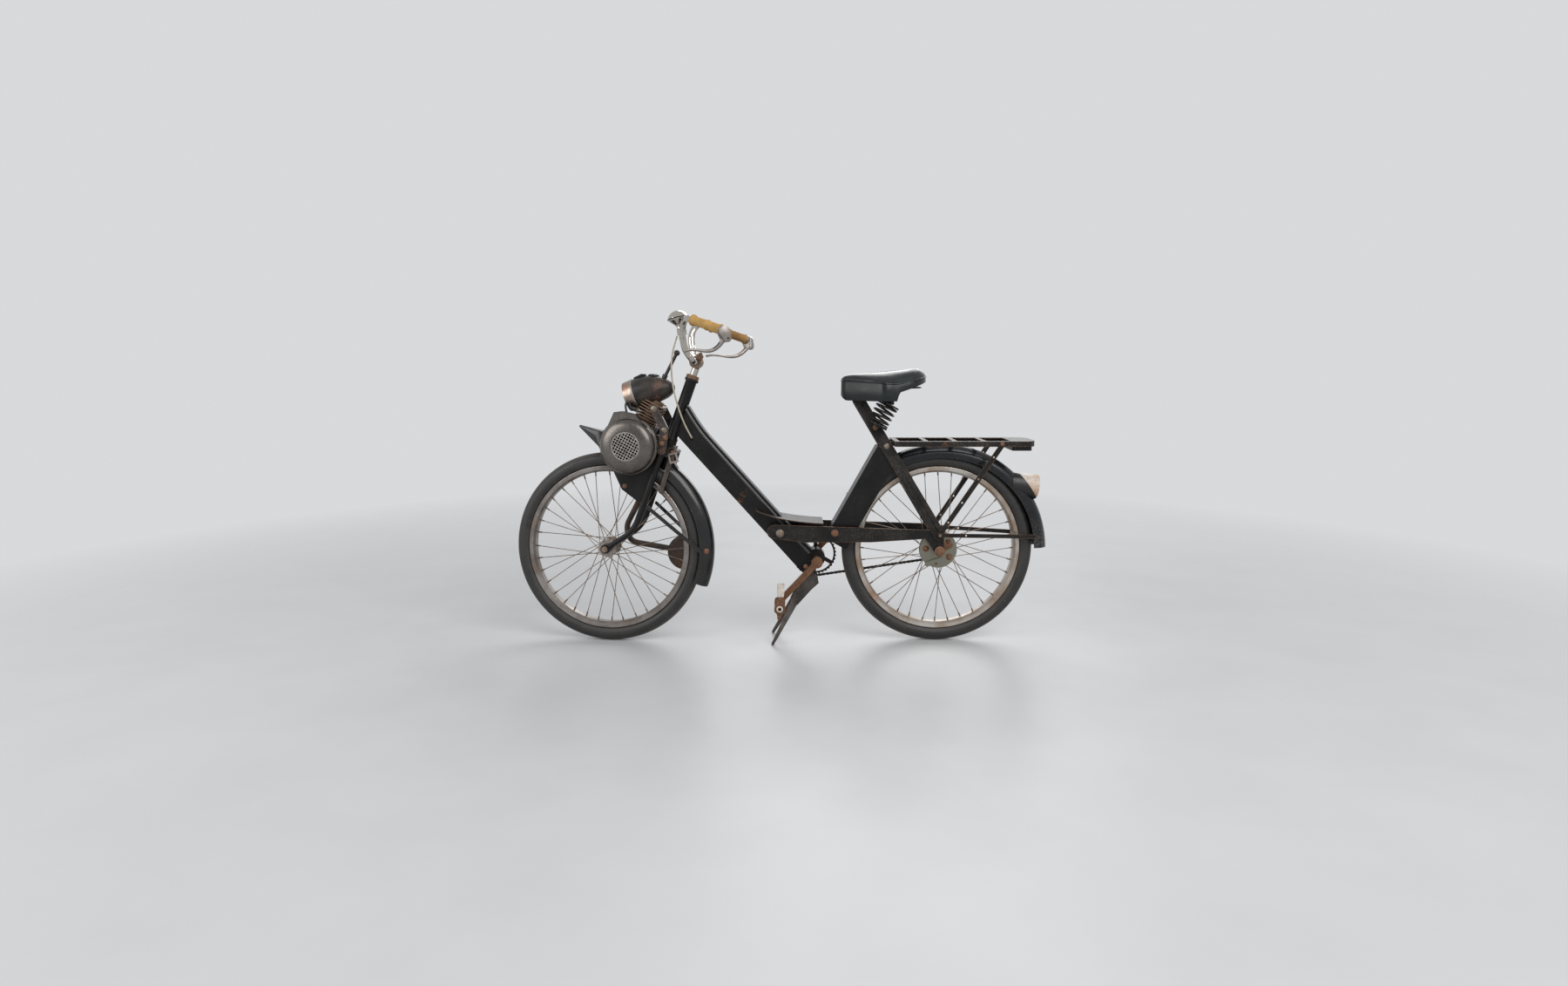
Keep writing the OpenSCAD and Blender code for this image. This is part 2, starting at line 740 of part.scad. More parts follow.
// Bullet-shaped rear lamp seated on the mudguard
module tail_lamp() {
    color("#c9c2b8") placed() difference() {
        union() {
            translate([tail_c[0], 0, tail_c[1]]) rotate([0, 90 + tail_axis, 0]) cylinder(r1 = 33, r2 = 37, h = tail_reach);
            translate([tail_c[0] - 4, -10, tail_c[1] + 26]) rotate([0, tail_axis, 0]) cube([32, 20, 8]);
        }
        translate([tail_c[0], 0, tail_c[1]]) rotate([0, 90 + tail_axis, 0])
            translate([0, 0, tail_reach - 9]) cylinder(r = tail_lens_r, h = 20);
        guard_arc(guard_c, 5, 85) guard_fill(seat_gap);
    }
}

module tail_lens() {
    start = tail_reach - 9 + seat_gap;
    color("#7d1210") placed() difference() {
        translate([tail_c[0], 0, tail_c[1]]) rotate([0, 90 + tail_axis, 0])
            translate([0, 0, start]) cylinder(r = tail_lens_r - seat_gap, h = 7);
        guard_arc(guard_c, 5, 85) guard_fill(seat_gap);
    }
}

// Fixed axle with its nuts, the brake's back plate with its lever, and the eye bolts
module rear_axle() {
    plate_y = -hub_half - 4;
    nut = stay_out + seat_gap;
    color("#6d5b48") placed() {
        cross_rod([rear_x, axle_z], rear_axle_d / 2, -nut - 14, nut + 14);
        cross_rod([rear_x, axle_z], drum_r - 10, plate_y - 3, plate_y + 12);
        cross_rod([rear_x, axle_z], drum_r - 1, plate_y - 4, plate_y);
        cross_rod([rear_x, axle_z], 12, -stay_in + seat_gap, plate_y);
        for (s = [-1, 1]) cross_rod([rear_x, axle_z], 11, s > 0 ? nut : -nut - 9, s > 0 ? nut + 9 : -nut);
        pair() cross_rod(eye, 4, -seat_stay_in - stay_t - 15, -stay_in + 2);
        side(plate_y - 9, 4) slot2d([rear_x + 8, axle_z - 30], [rear_x - 34, axle_z - 44], 14);
        cross_rod([rear_x + 8, axle_z - 30], 6, plate_y - 9, plate_y);
    }
}

// Chain: one closed loop whose edges follow the links
function chain_angle() = asin((ring_r - sprocket_r) / norm([rear_x - crank_x, axle_z - bb_z]));
function chain_run() = sqrt(pow(rear_x - crank_x, 2) + pow(axle_z - bb_z, 2) - pow(ring_r - sprocket_r, 2));
function chain_length() = 2 * chain_run() + PI * (ring_r + sprocket_r) + 2 * chain_angle() * PI / 180 * (ring_r - sprocket_r);

// Place on the loop at a distance along it, moved outwards by h
function chain_point(s, h) = let (
    line = atan2(axle_z - bb_z, rear_x - crank_x),
    a = chain_angle(), run = chain_run(),
    ring_arc = (180 + 2 * a) * PI / 180 * ring_r,
    small_arc = (180 - 2 * a) * PI / 180 * sprocket_r,
    top = line + 90 - a, low = line - 90 + a,
    c0 = [crank_x, bb_z], c1 = [rear_x, axle_z]
) s < run ? c0 + (ring_r + h) * [cos(top), sin(top)] + s * [sin(top), -cos(top)] :
    s < run + small_arc ? let (b = top - (s - run) / sprocket_r * 180 / PI) c1 + (sprocket_r + h) * [cos(b), sin(b)] :
    s < 2 * run + small_arc ? c1 + (sprocket_r + h) * [cos(low), sin(low)]
        + (s - run - small_arc) * [sin(low), -cos(low)] :
    let (b = low - (s - 2 * run - small_arc) / ring_r * 180 / PI) c0 + (ring_r + h) * [cos(b), sin(b)];

module drive_chain() {
    links = 2 * floor(chain_length() / chain_pitch / 2);
    steps = 4;
    pitch = chain_length() / links;
    function waist(i) = chain_half - 1.1 + 1.1 * cos(360 * i / steps);
    color("#151515") placed() side(chain_y - 3.5, 7) difference() {
        polygon([for (i = [0 : links * steps - 1]) chain_point(i * pitch / steps, waist(i))]);
        polygon([for (i = [0 : links * steps - 1]) chain_point(i * pitch / steps, -waist(i))]);
    }
}

// Front fork

blade_top = on_axis(head_low - 44, -5);
blade_turn = blade_tip_angle - rake;
lug_half = blade_r - 1.5;
blade_arc = blade_bend_r * (sin(blade_turn) * -axis_up + (1 - cos(blade_turn)) * -axis_back);
tip_dir = [-sin(blade_tip_angle), -cos(blade_tip_angle)];
blade_rest = [front_x, axle_z] - blade_top - blade_arc;
blade_det = -axis_up[0] * tip_dir[1] + axis_up[1] * tip_dir[0];
blade_straight = (blade_rest[0] * tip_dir[1] - blade_rest[1] * tip_dir[0]) / blade_det;
blade_end = (-axis_up[0] * blade_rest[1] + axis_up[1] * blade_rest[0]) / blade_det;
bend_start = blade_top - axis_up * blade_straight;
bend_c = bend_start - axis_back * blade_bend_r;
bend_stop = blade_top - axis_up * blade_straight + blade_arc;

// One blade: straight along the steering axis, bent forwards and thinner towards the axle
module blade(y) {
    bend = [for (i = [0 : 8]) let (a = -rake - blade_turn * i / 8) bend_c + blade_bend_r * [cos(a), sin(a)]];
    path = concat([blade_top], bend, [[front_x, axle_z]]);
    tube([for (p = path) [p[0], y, p[1]]], function (t) blade_r - 2 * t, 18, [0, 1, 0]);
    cross_rod([front_x, axle_z], blade_r + 4, y - lug_half, y + lug_half);
}

// Fork crown, steerer and the two blades
module fork() {
    crown_half = fork_half + blade_r;
    color("#16171a") placed() steered() difference() {
        union() {
            for (s = [-1, 1]) blade(s * fork_half);
            translate([on_axis(crown_low)[0], 0, on_axis(crown_low)[1]]) rotate([0, rake, 0])
                translate([-19, -crown_half, 0]) cube([36, crown_half * 2, 30]);
            axis_rod(head_low - 40, head_high + 8, steerer_r);
            axis_rod(head_low - 24, head_low - 8 - shaft_gap, head_r + 3);
        }
        cross_rod([front_x, axle_z], front_axle_d / 2 + seat_gap, -100, 100);
        cross_rod(lift_pivot, 6 + shaft_gap, -100, 100);
    }
}

module front_axle() {
    nut_y = fork_half + lug_half + seat_gap;
    color("#6d5b48") placed() steered() {
        cross_rod([front_x, axle_z], front_axle_d / 2, -nut_y - 13, nut_y + 13);
        for (s = [-1, 1]) cross_rod([front_x, axle_z], 9, s > 0 ? nut_y : -nut_y - 8, s > 0 ? nut_y + 8 : -nut_y);
        for (s = [-1, 1]) cross_rod([front_x, axle_z], 8, s > 0 ? hub_half + shaft_gap : -fork_half + lug_half + seat_gap,
            s > 0 ? fork_half - lug_half - seat_gap : -hub_half - shaft_gap);
    }
}

clamp_s = head_high + 56;
clamp_c = on_axis(clamp_s, -4);

// Bearing nut, stem post and the bar's clamp
module stem() {
    color("#8f7a66") placed() steered() difference() {
        union() {
            axis_rod(head_high + 5 + shaft_gap, head_high + 16, head_r + 2);
            axis_rod(head_high + 8 + seat_gap, clamp_s + 24, 10.5);
            cross_rod(clamp_c, 18, -20, 20);
        }
        axis_rod(head_high - 10, head_high + 8 + seat_gap, steerer_r + seat_gap);
        cross_rod(clamp_c, bar_r + seat_gap, -60, 60);
        axis_rod(clamp_s - 6, clamp_s + 30, 7);
    }
}

grip_front = [on_axis(head_high + 176, -4)[0] - 22, 140, on_axis(head_high + 176, -4)[1]];
grip_rear = grip_front + [101, 85, -35];
bar_corner = grip_front - 30 * unit(grip_rear - grip_front);
bar_points = [
    [clamp_c[0], 0, clamp_c[1]], [clamp_c[0], 42, clamp_c[1]], [clamp_c[0] - 24, 54, clamp_c[1] + 34],
    [clamp_c[0] - 30, 68, clamp_c[1] + 86], [clamp_c[0] - 16, 90, clamp_c[1] + 118], bar_corner, grip_rear
];

// Swept bar: level in the clamp, up and forward, then back to the grips
module handlebar() {
    half = rounded(bar_points, 28, 5);
    left = [for (i = [len(half) - 1 : -1 : 1]) [half[i][0], -half[i][1], half[i][2]]];
    color("#9c958c") placed() steered()
        tube(concat(left, half), function (t) bar_r, 16, [0.2, 0.1, 1]);
}

// Ribbed grips with a flange at each end
module grips() {
    long = norm(grip_rear - grip_front);
    d = unit(grip_rear - grip_front);
    color("#b98a3c") placed() steered() pair() difference() {
        union() {
            rod(grip_front + d * 4, grip_rear - d * 8, grip_r);
            rod(grip_front, grip_front + d * 5, grip_r + 3);
            rod(grip_front + d * long * 0.47, grip_front + d * (long * 0.47 + 5), grip_r + 1.6);
            rod(grip_rear - d * 12, grip_rear - d * 8, grip_r + 2);
        }
        rod(grip_front - d * 20, grip_rear + d * 20, bar_r + seat_gap);
    }
}

// Levers hung from the bar ends, pointing forward under the grips
module brake_levers() {
    d = unit(grip_rear - grip_front);
    start = grip_rear - d * 7.5;
    hang = start + d * 11 + [2, 0, -14];
    path = rounded([
        hang, hang + [-12, -6, -26], hang + [-36, -22, -49], hang + [-62, -36, -50], hang + [-124, -62, -45]
    ], 22, 4);
    color("#9a9088") placed() steered() pair() difference() {
        union() {
            rod(start, start + d * 22, 16);
            tube(path, function (t) 8 - 3.6 * t, 12, [0.3, -0.5, 1]);
        }
        rod(start - d * 20, grip_rear + d * 2, bar_r + seat_gap);
    }
}

bell_c = [bar_points[3][0] - 13, -bar_points[3][1] + 8, bar_points[3][2] + 40];

// Dome bell on a clamp round the left riser
module bell() {
    color("#a8a29a") placed() steered() difference() {
        union() {
            translate(bell_c) rotate([0, -14, 0]) {
                rotate_extrude($fn = 64) polygon([
                    [0, -24], [11, -24], [13, -20], [bell_r - 3, -6], [bell_r - 1, -1], [0, -1]
                ]);
                intersection() {
                    translate([0, 0, -bell_r * 0.35]) sphere(bell_r * 1.06);
                    cylinder(r = bell_r, h = bell_r);
                }
            }
            rod(bell_c + [2, 0, -20], [bar_points[3][0], -bar_points[3][1], bar_points[3][2]], 7);
            rod([bar_points[3][0] + 1, -bar_points[3][1] + 3.5, bar_points[3][2] - 9],
                [bar_points[3][0], -bar_points[3][1] - 1, bar_points[3][2] + 8], bar_r + 4);
        }
        tube([for (p = rounded(bar_points, 28, 5)) [p[0], -p[1], p[2]]], function (t) bar_r + seat_gap, 16, [0.2, 0.1, 1]);
    }
}

// Rear part of the front mudguard with its stays, and the pointed shield ahead of the engine
module front_mudguard() {
    tip = [front_x - 86, axle_z + 368];
    color("#15171a") placed() steered() {
        guard_arc([front_x, axle_z], -21, 52) guard_section(1.6);
        pair() strap([on_axis(176)[0] + 8, -fork_half - blade_r - 1.5 - seat_gap, on_axis(176)[1] - 12],
            [front_x + guard_r - 33, -guard_half - 1.5 - seat_gap, axle_z - 9], 11, 3);
        guard_tab();
        shield(tip);
    }
}

// Tab from the guard's end up to the crown's underside
module guard_tab() {
    side(-12, 24) polygon([
        [front_x, axle_z] + (guard_r - 1) * [cos(48), sin(48)], [front_x, axle_z] + (guard_r - 1) * [cos(52), sin(52)],
        on_axis(crown_low - seat_gap, 11), on_axis(crown_low - seat_gap, 16)
    ]);
}

// Curved shield, widest at its foot and pointed at its front
module shield(tip) {
    foot = [front_x - 14, axle_z + tyre_r + 18];
    ear_out = valance_in - seat_gap;
    pair() side(-ear_out, 3) slot2d(foot, [front_x + 30, axle_z + 240], 13);
    difference() {
        hull() {
            translate([tip[0], 0, tip[1]]) sphere(4, $fn = 24);
            translate([foot[0] - 2, 0, foot[1] + 30]) rotate([90, 0, 0]) cylinder(r = 16, h = 50, center = true, $fn = 32);
            translate([foot[0], 0, foot[1]]) rotate([90, 0, 0]) cylinder(r = 5, h = ear_out * 2 - 2, center = true, $fn = 32);
        }
        hull() {
            translate([tip[0] + 10, 0, tip[1] - 6]) sphere(3, $fn = 24);
            translate([foot[0] + 2, 0, foot[1] + 24]) rotate([90, 0, 0]) cylinder(r = 16, h = 46, center = true, $fn = 32);
            translate([foot[0] + 6, 0, foot[1] - 6]) rotate([90, 0, 0]) cylinder(r = 8, h = 48, center = true, $fn = 32);
        }
    }
}

valance_in = 32;

// Side plates between the fork and the engine, hugging the wheel
module valances() {
    near = [front_x + 23, axle_z + 236];
    color("#17171a") placed() steered() pair() difference() {
        side(-valance_in - 3, 3) difference() {
            polygon([
                near, [front_x + 49, axle_z + 180], [front_x + 98, axle_z + 143], [front_x + 116, axle_z + 141],
                on_axis(260, -4), on_axis(crown_low - seat_gap, 2), on_axis(crown_low - seat_gap, -18),
                [shaft_c[0], shaft_c[1] - 40]
            ]);
            translate(shaft_c) circle(62 + run_gap);
            slot2d(shaft_c, case_tail, case_tail_w + 2 * run_gap);
            translate(port_c) circle(port_r + run_gap);
        }
    }
}

// Rim brake behind the crown: arms either side of the tyre, with pads at the rim
module front_brake() {
    pivot = on_axis(head_low - 34, 26);
    pad_a = 46;
    pad = [front_x + (rim_r - 4) * cos(pad_a), axle_z + (rim_r - 4) * sin(pad_a)];
    arm_in = guard_half + 2.5;
    color("#8b8178") placed() steered() {
        pair() {
            side(-arm_in - 5, 5) slot2d(pivot, pad, 13);
            cross_rod(pad, 8, -arm_in - 1, -rim_w / 2 - 2.5);
        }
        cross_rod(pivot, 7, -arm_in - 8, arm_in + 8);
        translate([pivot[0], 0, pivot[1]]) rotate([0, rake, 0]) translate([-8.7, -12, -8]) cube([9, 24, 16]);
    }
}

// Sheathed cable from the left riser down to the beam
module brake_cable() {
    path = rounded([
        [-277, -58, 926], [-292, -52, 876], [-297, -52, 816], [-291, -50, 760], [-268, -44, 690],
        [cable_hole[0], -beam_half - 13, cable_hole[1]], [cable_hole[0], -beam_half + 4, cable_hole[1]]
    ], 40, 5);
    color("#cfc6b4") placed() tube(path, function (t) cable_r, 10, [1, 0.1, 0.1]);
}

// Engine

// Turns children to the cylinder's axis at the crankshaft
module along_cylinder(d) {
    translate([shaft_c[0], 0, shaft_c[1]]) rotate([0, cylinder_tilt, 0]) translate([0, 0, d]) children();
}

lamp_c = [shaft_c[0] + 7, shaft_c[1] + 152];
lamp_tilt = 17;
lamp_rim = 28;

// Egg-shaped lamp body, grown for the pieces that make room for it
module lamp_body(grow) {
    hull() {
        translate([lamp_c[0], 0, lamp_c[1]]) rotate([0, -90 - lamp_tilt, 0])
            translate([0, 0, -10]) cylinder(r = lamp_r + grow, h = 10, $fn = 48);
        translate([lamp_c[0] + 46, 0, lamp_c[1] + 14]) sphere(lamp_r - 2 + grow, $fn = 32);
        translate([lamp_c[0] + 94, 0, lamp_c[1] + 20]) sphere(24 + grow, $fn = 24);
    }
}

module headlamp() {
    color("#26211f") placed() steered() union() {
        lamp_body(0);
        translate([lamp_c[0] + 20, 0, lamp_c[1] + 46]) cylinder(r = 13, h = 15);
        translate([lamp_c[0] + 56, 0, lamp_c[1] + 48]) cylinder(r = 12, h = 15);
    }
}

module headlamp_rim() {
    color("#a08a78") placed() steered() translate([lamp_c[0], 0, lamp_c[1]]) rotate([0, -90 - lamp_tilt, 0])
        translate([0, 0, seat_gap]) difference() {
            cylinder(r1 = lamp_r + 1, r2 = lamp_r - 2, h = lamp_rim);
            translate([0, 0, lamp_rim - 10]) cylinder(r = lamp_r - 6, h = 20);
        }
}

module headlamp_lens() {
    color("#d8dcd8") placed() steered() translate([lamp_c[0], 0, lamp_c[1]]) rotate([0, -90 - lamp_tilt, 0])
        translate([0, 0, lamp_rim - 10 + 2 * seat_gap]) intersection() {
            cylinder(r = lamp_r - 6 - seat_gap, h = 12);
            translate([0, 0, 12 - 90]) sphere(90);
        }
}

case_tail = lift_pivot + [-22, 22];
case_tail_w = 44;

// Crankcase over the wheel, cut to clear the tyre and the roller
module crankcase() {
    half = 44;
    block_r = 62;
    roller_half = 24;
    color("#4b4742") placed() steered() difference() {
        union() {
            cross_rod(shaft_c, block_r, -half, half);
            cross_rod(shaft_c, 40, -cover_in + seat_gap, cover_in - seat_gap);
            along_cylinder(30) translate([-36, -38, 0]) cube([72, 76, 46]);
            side(-half, half * 2) slot2d(shaft_c, case_tail, case_tail_w);
            cross_rod(port_c, port_r, 20, cover_in - 4);
        }
        cross_rod([front_x, axle_z], tyre_r + run_gap, -tyre_w / 2 - run_gap, tyre_w / 2 + run_gap);
        cross_rod(shaft_c, roller_r + 3, -roller_half - 3, roller_half + 3);
        cross_rod(shaft_c, 9 + shaft_gap, -100, 100);
        cross_rod(lift_pivot, 16, -100, 100);
        translate([on_axis(crown_low)[0], 0, on_axis(crown_low)[1]]) rotate([0, rake, 0])
            translate([-22 - run_gap, -70, -60]) cube([80, 140, 200]);
    }
}

// Fan cover: a domed shell with stepped edges and an air duct to the cylinder
module fan_cover() {
    y0 = cover_in;
    y1 = cover_in + cover_w;
    r = bell_cover_r;
    wall = 4;
    color("#56524d") placed() steered() difference() {
        union() {
            around_y(shaft_c) polygon(concat(
                [[0, -y0], [r - 1, -y0], [r - 1, -y0 - 7], [r + 1.5, -y0 - 7], [r + 1.5, -y0 - 12], [r, -y0 - 12],
                    [r, -y0 - 18]],
                curve([r, -y0 - 18], [r, -y1 + 2], [grille_r + 5, -y1], 8),
                [[0, -y1]]
            ));
            side(-y0 - 26, 25) polygon([
                shaft_c + [-58, 58], shaft_c + [-38, 100], shaft_c + [-14, 103], shaft_c + [26, 93],
                shaft_c + [50, 62]
            ]);
        }
        around_y(shaft_c) polygon(concat(
            [[0, -y0 - wall], [r - wall - 1, -y0 - wall], [r - wall - 1, -y0 - 18]],
            curve([r - wall - 1, -y0 - 18], [r - wall - 1, -y1 + wall], [grille_r + 2, -y1 + wall], 8),
            [[0, -y1 + wall]]
        ));
        cross_rod(shaft_c, grille_r, -y1 - 10, -y1 + 10);
        cross_rod(shaft_c, 26, -y0 - 10, -y0 + 10);
    }
}

// Square mesh in a ring
module fan_grille() {
    y = -cover_in - cover_w;
    outer = grille_r - seat_gap;
    bar = 2;
    cells = ceil(grille_r / grille_pitch);
    color("#8c877f") placed() steered() translate([shaft_c[0], y + 3.4, shaft_c[1]]) rotate([90, 0, 0])
        linear_extrude(3) union() {
            difference() {
                circle(outer);
                circle(outer - 2.5);
            }
            intersection() {
                circle(outer - 1);
                rotate(-cylinder_tilt) for (i = [-cells : cells]) {
                    translate([i * grille_pitch - bar / 2, -outer]) square([bar, outer * 2]);
                    translate([-outer, i * grille_pitch - bar / 2]) square([outer * 2, bar]);
                }
            }
        }
}

// Domed fuel tank on the right, with its filler cap
module fuel_tank() {
    y0 = cover_in;
    y1 = cover_in + cover_w + 4;
    r = bell_cover_r;
    color("#1d1d1f") placed() steered() union() {
        around_y(shaft_c) polygon(concat(
            [[0, y0], [r - 2, y0], [r + 1, y0 + 4], [r + 1, y0 + 8], [r, y0 + 8], [r, y0 + 14]],
            curve([r, y0 + 14], [r, y1 - 2], [r - 42, y1], 8),
            [[0, y1]]
        ));
        translate([shaft_c[0] - 10, y0 + 20, shaft_c[1] + r - 14]) cylinder(r = 17, h = 24);
    }
}

// Finned cylinder leaning back, with its head under the lamp
module finned_cylinder() {
    first = 80;
    fin_t = 3;
    color("#8a6a4e") placed() steered() difference() {
        union() {
            along_cylinder(76 + seat_gap) cylinder(r = 24, h = fin_count * fin_pitch + 8);
            for (i = [0 : fin_count - 1]) along_cylinder(first + i * fin_pitch)
                translate([-32, -37, 0]) cube([64, 74, fin_t]);
        }
        lamp_body(seat_gap);
    }
}

// Curved arms from the fork's pivot up to the cylinder
module engine_arms() {
    out = fork_half + blade_r + 1;
    arm_end = on_axis(head_low + 70, -66);
    color("#3a2f2a") placed() steered() {
        pair() difference() {
            union() {
                side(-out - 5, 5) slot2d(lift_pivot, on_axis(head_low + 22, -16), 26);
                side(-out - 5, 5) slot2d(on_axis(head_low + 22, -16), arm_end, 24);
                cross_rod(arm_end, 9, -out - 1, -37 - seat_gap);
            }
        }
        cross_rod(lift_pivot, 6, -out - 8, out + 8);
    }
}

pipe_y = 74;
port_c = shaft_c + [24, -44];
port_r = 17;
silencer_c = [front_x + 220, axle_z - 24];

// Bent pipe and round silencer on the right of the wheel
module exhaust() {
    path = rounded([
        [port_c[0], cover_in - pipe_r - 2, port_c[1] - port_r - seat_gap],
        [port_c[0] - 1, cover_in - pipe_r - 2, shaft_c[1] - 112],
        [front_x + 76, pipe_y - 6, axle_z + 137], [front_x + 30, pipe_y, axle_z + 52],
        [front_x + 44, pipe_y, axle_z + 6], [silencer_c[0] - silencer_r + 4, pipe_y, silencer_c[1] + 10]
    ], 34, 5);
    color("#4a3d34") placed() steered() union() {
        tube(path, function (t) pipe_r, 14, [0.1, 1, 0.05]);
        around_y(silencer_c) polygon([
            [0, pipe_y - 22], [silencer_r - 14, pipe_y - 22], [silencer_r - 12, pipe_y - 19], [silencer_r - 3, pipe_y - 18],
            [silencer_r, pipe_y - 14], [silencer_r, pipe_y + 14], [silencer_r - 3, pipe_y + 18],
            [silencer_r - 12, pipe_y + 19], [silencer_r - 14, pipe_y + 22], [0, pipe_y + 22]
        ]);
    }
}

// Lever that lifts the engine off the wheel
module lift_lever() {
    foot = [lamp_c[0] + 85, 0, lamp_c[1] + 46];
    top = foot + [41, 0, 77];
    color("#141414") placed() steered() difference() {
        union() {
            rod(foot, top, 5);
            translate(top) sphere(9);
            rod(foot - [6, 0, 14], foot + [6, 0, 13], 8);
        }
        lamp_body(seat_gap);
    }
}

// Drive roller, its shaft and the cooling fan behind the grille
module crankshaft() {
    roller_half = 24;
    fan_y = cover_in + 9.5;
    color("#5c564f") placed() steered() union() {
        cross_rod(shaft_c, roller_r, -roller_half, roller_half);
        cross_rod(shaft_c, 9, -fan_y - 8, cover_in - run_gap);
        cross_rod(shaft_c, bell_cover_r - 20, -fan_y - 5, -fan_y);
        for (i = [0 : 11]) translate([shaft_c[0], -fan_y - 22, shaft_c[1]]) rotate([0, i * 30, 0])
            translate([26, 0, -1.5]) cube([32, 18, 3]);
    }
}

// Stand, cranks and pedals

// Two flared legs on a cross tube, with a stop plate behind the pivot
module stand() {
    leg_in = beam_half + 4;
    leg_t = 4;
    p = stand_at;
    knee = p + stand_drop * 0.42;
    foot = p + stand_drop;
    color("#3a3836") placed() {
        cross_rod(p, 7, -leg_in - leg_t, leg_in + leg_t);
        pair() {
            side(-leg_in - leg_t, leg_t) {
                polygon([
                    p + [-14, 4], p + [4, 14], p + [22, -4], p + [26, -24], p + [4, -44], knee + [9, -5],
                    knee + [-12, 5]
                ]);
                translate(p) circle(14);
            }
            hull() {
                translate([knee[0] - 1.5, -leg_in - leg_t / 2, knee[1]]) rotate([0, atan2(stand_drop[0], stand_drop[1]), 0])
                    cube([20, leg_t, 4], center = true);
                translate([foot[0], -foot_half, 4]) rotate([90, 0, 0]) cylinder(r = 4, h = 9, center = true, $fn = 32);
            }
        }
    }
}

crank_in = 82;
crank_dir = unit([-110, -117]);

// Spindle and two arms in line
module crank_arms() {
    arm_t = 12;
    color("#8a5a38") placed() {
        cross_rod([crank_x, bb_z], 9, -crank_in - 2, crank_in + 2);
        for (s = [-1, 1]) {
            tip = [crank_x, bb_z] - s * crank_len * crank_dir;
            difference() {
                side(s > 0 ? crank_in : -crank_in - arm_t, arm_t) {
                    translate([crank_x, bb_z]) circle(17);
                    translate(tip) circle(12);
                    slot2d([crank_x, bb_z], tip, 18);
                }
                cross_rod(tip, 7 + shaft_gap, -200, 200);
            }
        }
    }
}

// Toothed ring on three arms, carried by the spindle
module chainring() {
    color("#3b332c") placed() translate([crank_x, chain_y - 1.5, bb_z]) difference() {
        union() {
            difference() {
                toothed(ring_r, 3);
                rotate([-90, 0, 0]) translate([0, 0, -1]) cylinder(r = ring_r - 13, h = 5);
            }
            for (i = [0 : 2]) rotate([0, i * 120 + 30, 0]) translate([0, 0, -6]) cube([ring_r - 10, 3, 12]);
            rotate([-90, 0, 0]) cylinder(r = 20, h = 3);
            rotate([-90, 0, 0]) cylinder(r = 16, h = crank_in - chain_y + 1.5 - seat_gap);
        }
        rotate([-90, 0, 0]) translate([0, 0, -5]) cylinder(r = 9 + seat_gap, h = 60);
    }
}

// Pedal standing on edge: spindle, end plates and a rubber block above
module pedal(s) {
    tip = [crank_x, bb_z] - s * crank_len * crank_dir;
    y0 = crank_in + 12 + 4;
    long = 82;
    pins = 26;
    translate([tip[0], 0, tip[1]]) rotate([0, 3, 0]) translate([-tip[0], 0, -tip[1]])
        mirror([0, s > 0 ? 0 : 1, 0]) {
            cross_rod(tip, 7, crank_in + 0.5, y0 + long + 6);
            cross_rod(tip, 12, y0, y0 + long);
            for (y = [y0, y0 + long - 4]) side(y, 4) {
                slot2d(tip - [0, pins], tip + [0, pins], 14);
                translate(tip) circle(16);
            }
            for (k = [-1, 1]) cross_rod(tip + [0, k * pins], 5, y0, y0 + long + 3);
            translate([tip[0] - 11, y0 + 4 + seat_gap, tip[1] + pins - 4]) cube([22, long - 8 - 2 * seat_gap, 36]);
        }
}

module left_pedal() {
    color("#b9a68f") placed() pedal(-1);
}

module right_pedal() {
    color("#b9a68f") placed() pedal(1);
}

head_tube();
main_beam();
footboard();
seat_beam();
chain_stays();
seat_stays();
saddle();
saddle_mount();
saddle_springs();
luggage_rack();
rear_struts();
rear_mudguard();
tail_lamp();
tail_lens();
rear_axle();
drive_chain();
fork();
front_axle();
stem();
handlebar();
grips();
brake_levers();
bell();
front_mudguard();
valances();
front_brake();
brake_cable();
crankcase();
fan_cover();
fan_grille();
fuel_tank();
finned_cylinder();
headlamp();
headlamp_rim();
headlamp_lens();
engine_arms();
exhaust();
lift_lever();
crankshaft();
front_tyre();
front_rim();
front_spokes();
front_hub();
rear_tyre();
rear_rim();
rear_spokes();
rear_hub();
stand();
crank_arms();
chainring();
left_pedal();
right_pedal();
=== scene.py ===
"""A worn friction-drive moped, its engine over the front wheel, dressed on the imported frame."""
import logging
import math
from dataclasses import dataclass, field
from enum import Enum
from typing import Callable, Iterable, Optional, Sequence, Union

import bpy
from mathutils import Matrix, Vector


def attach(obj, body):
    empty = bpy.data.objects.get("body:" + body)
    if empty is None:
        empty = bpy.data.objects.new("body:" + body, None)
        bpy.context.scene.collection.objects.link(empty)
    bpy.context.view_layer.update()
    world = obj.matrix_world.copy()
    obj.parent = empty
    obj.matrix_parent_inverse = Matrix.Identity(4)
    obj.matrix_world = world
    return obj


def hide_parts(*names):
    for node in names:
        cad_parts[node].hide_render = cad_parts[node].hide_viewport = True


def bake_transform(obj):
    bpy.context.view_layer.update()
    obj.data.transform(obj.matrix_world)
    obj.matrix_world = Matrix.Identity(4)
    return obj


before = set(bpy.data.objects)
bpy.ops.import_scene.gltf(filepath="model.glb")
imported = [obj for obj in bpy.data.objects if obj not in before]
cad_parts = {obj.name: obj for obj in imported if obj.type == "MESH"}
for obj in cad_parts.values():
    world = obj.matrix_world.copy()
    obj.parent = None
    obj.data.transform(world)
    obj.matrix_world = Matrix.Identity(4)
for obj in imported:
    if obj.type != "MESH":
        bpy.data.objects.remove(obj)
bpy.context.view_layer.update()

LOG = logging.getLogger("moped")
MM = 1000.0
FULL_TURN = 2 * math.pi
Colour = tuple[float, float, float]
Pair = tuple[float, float]
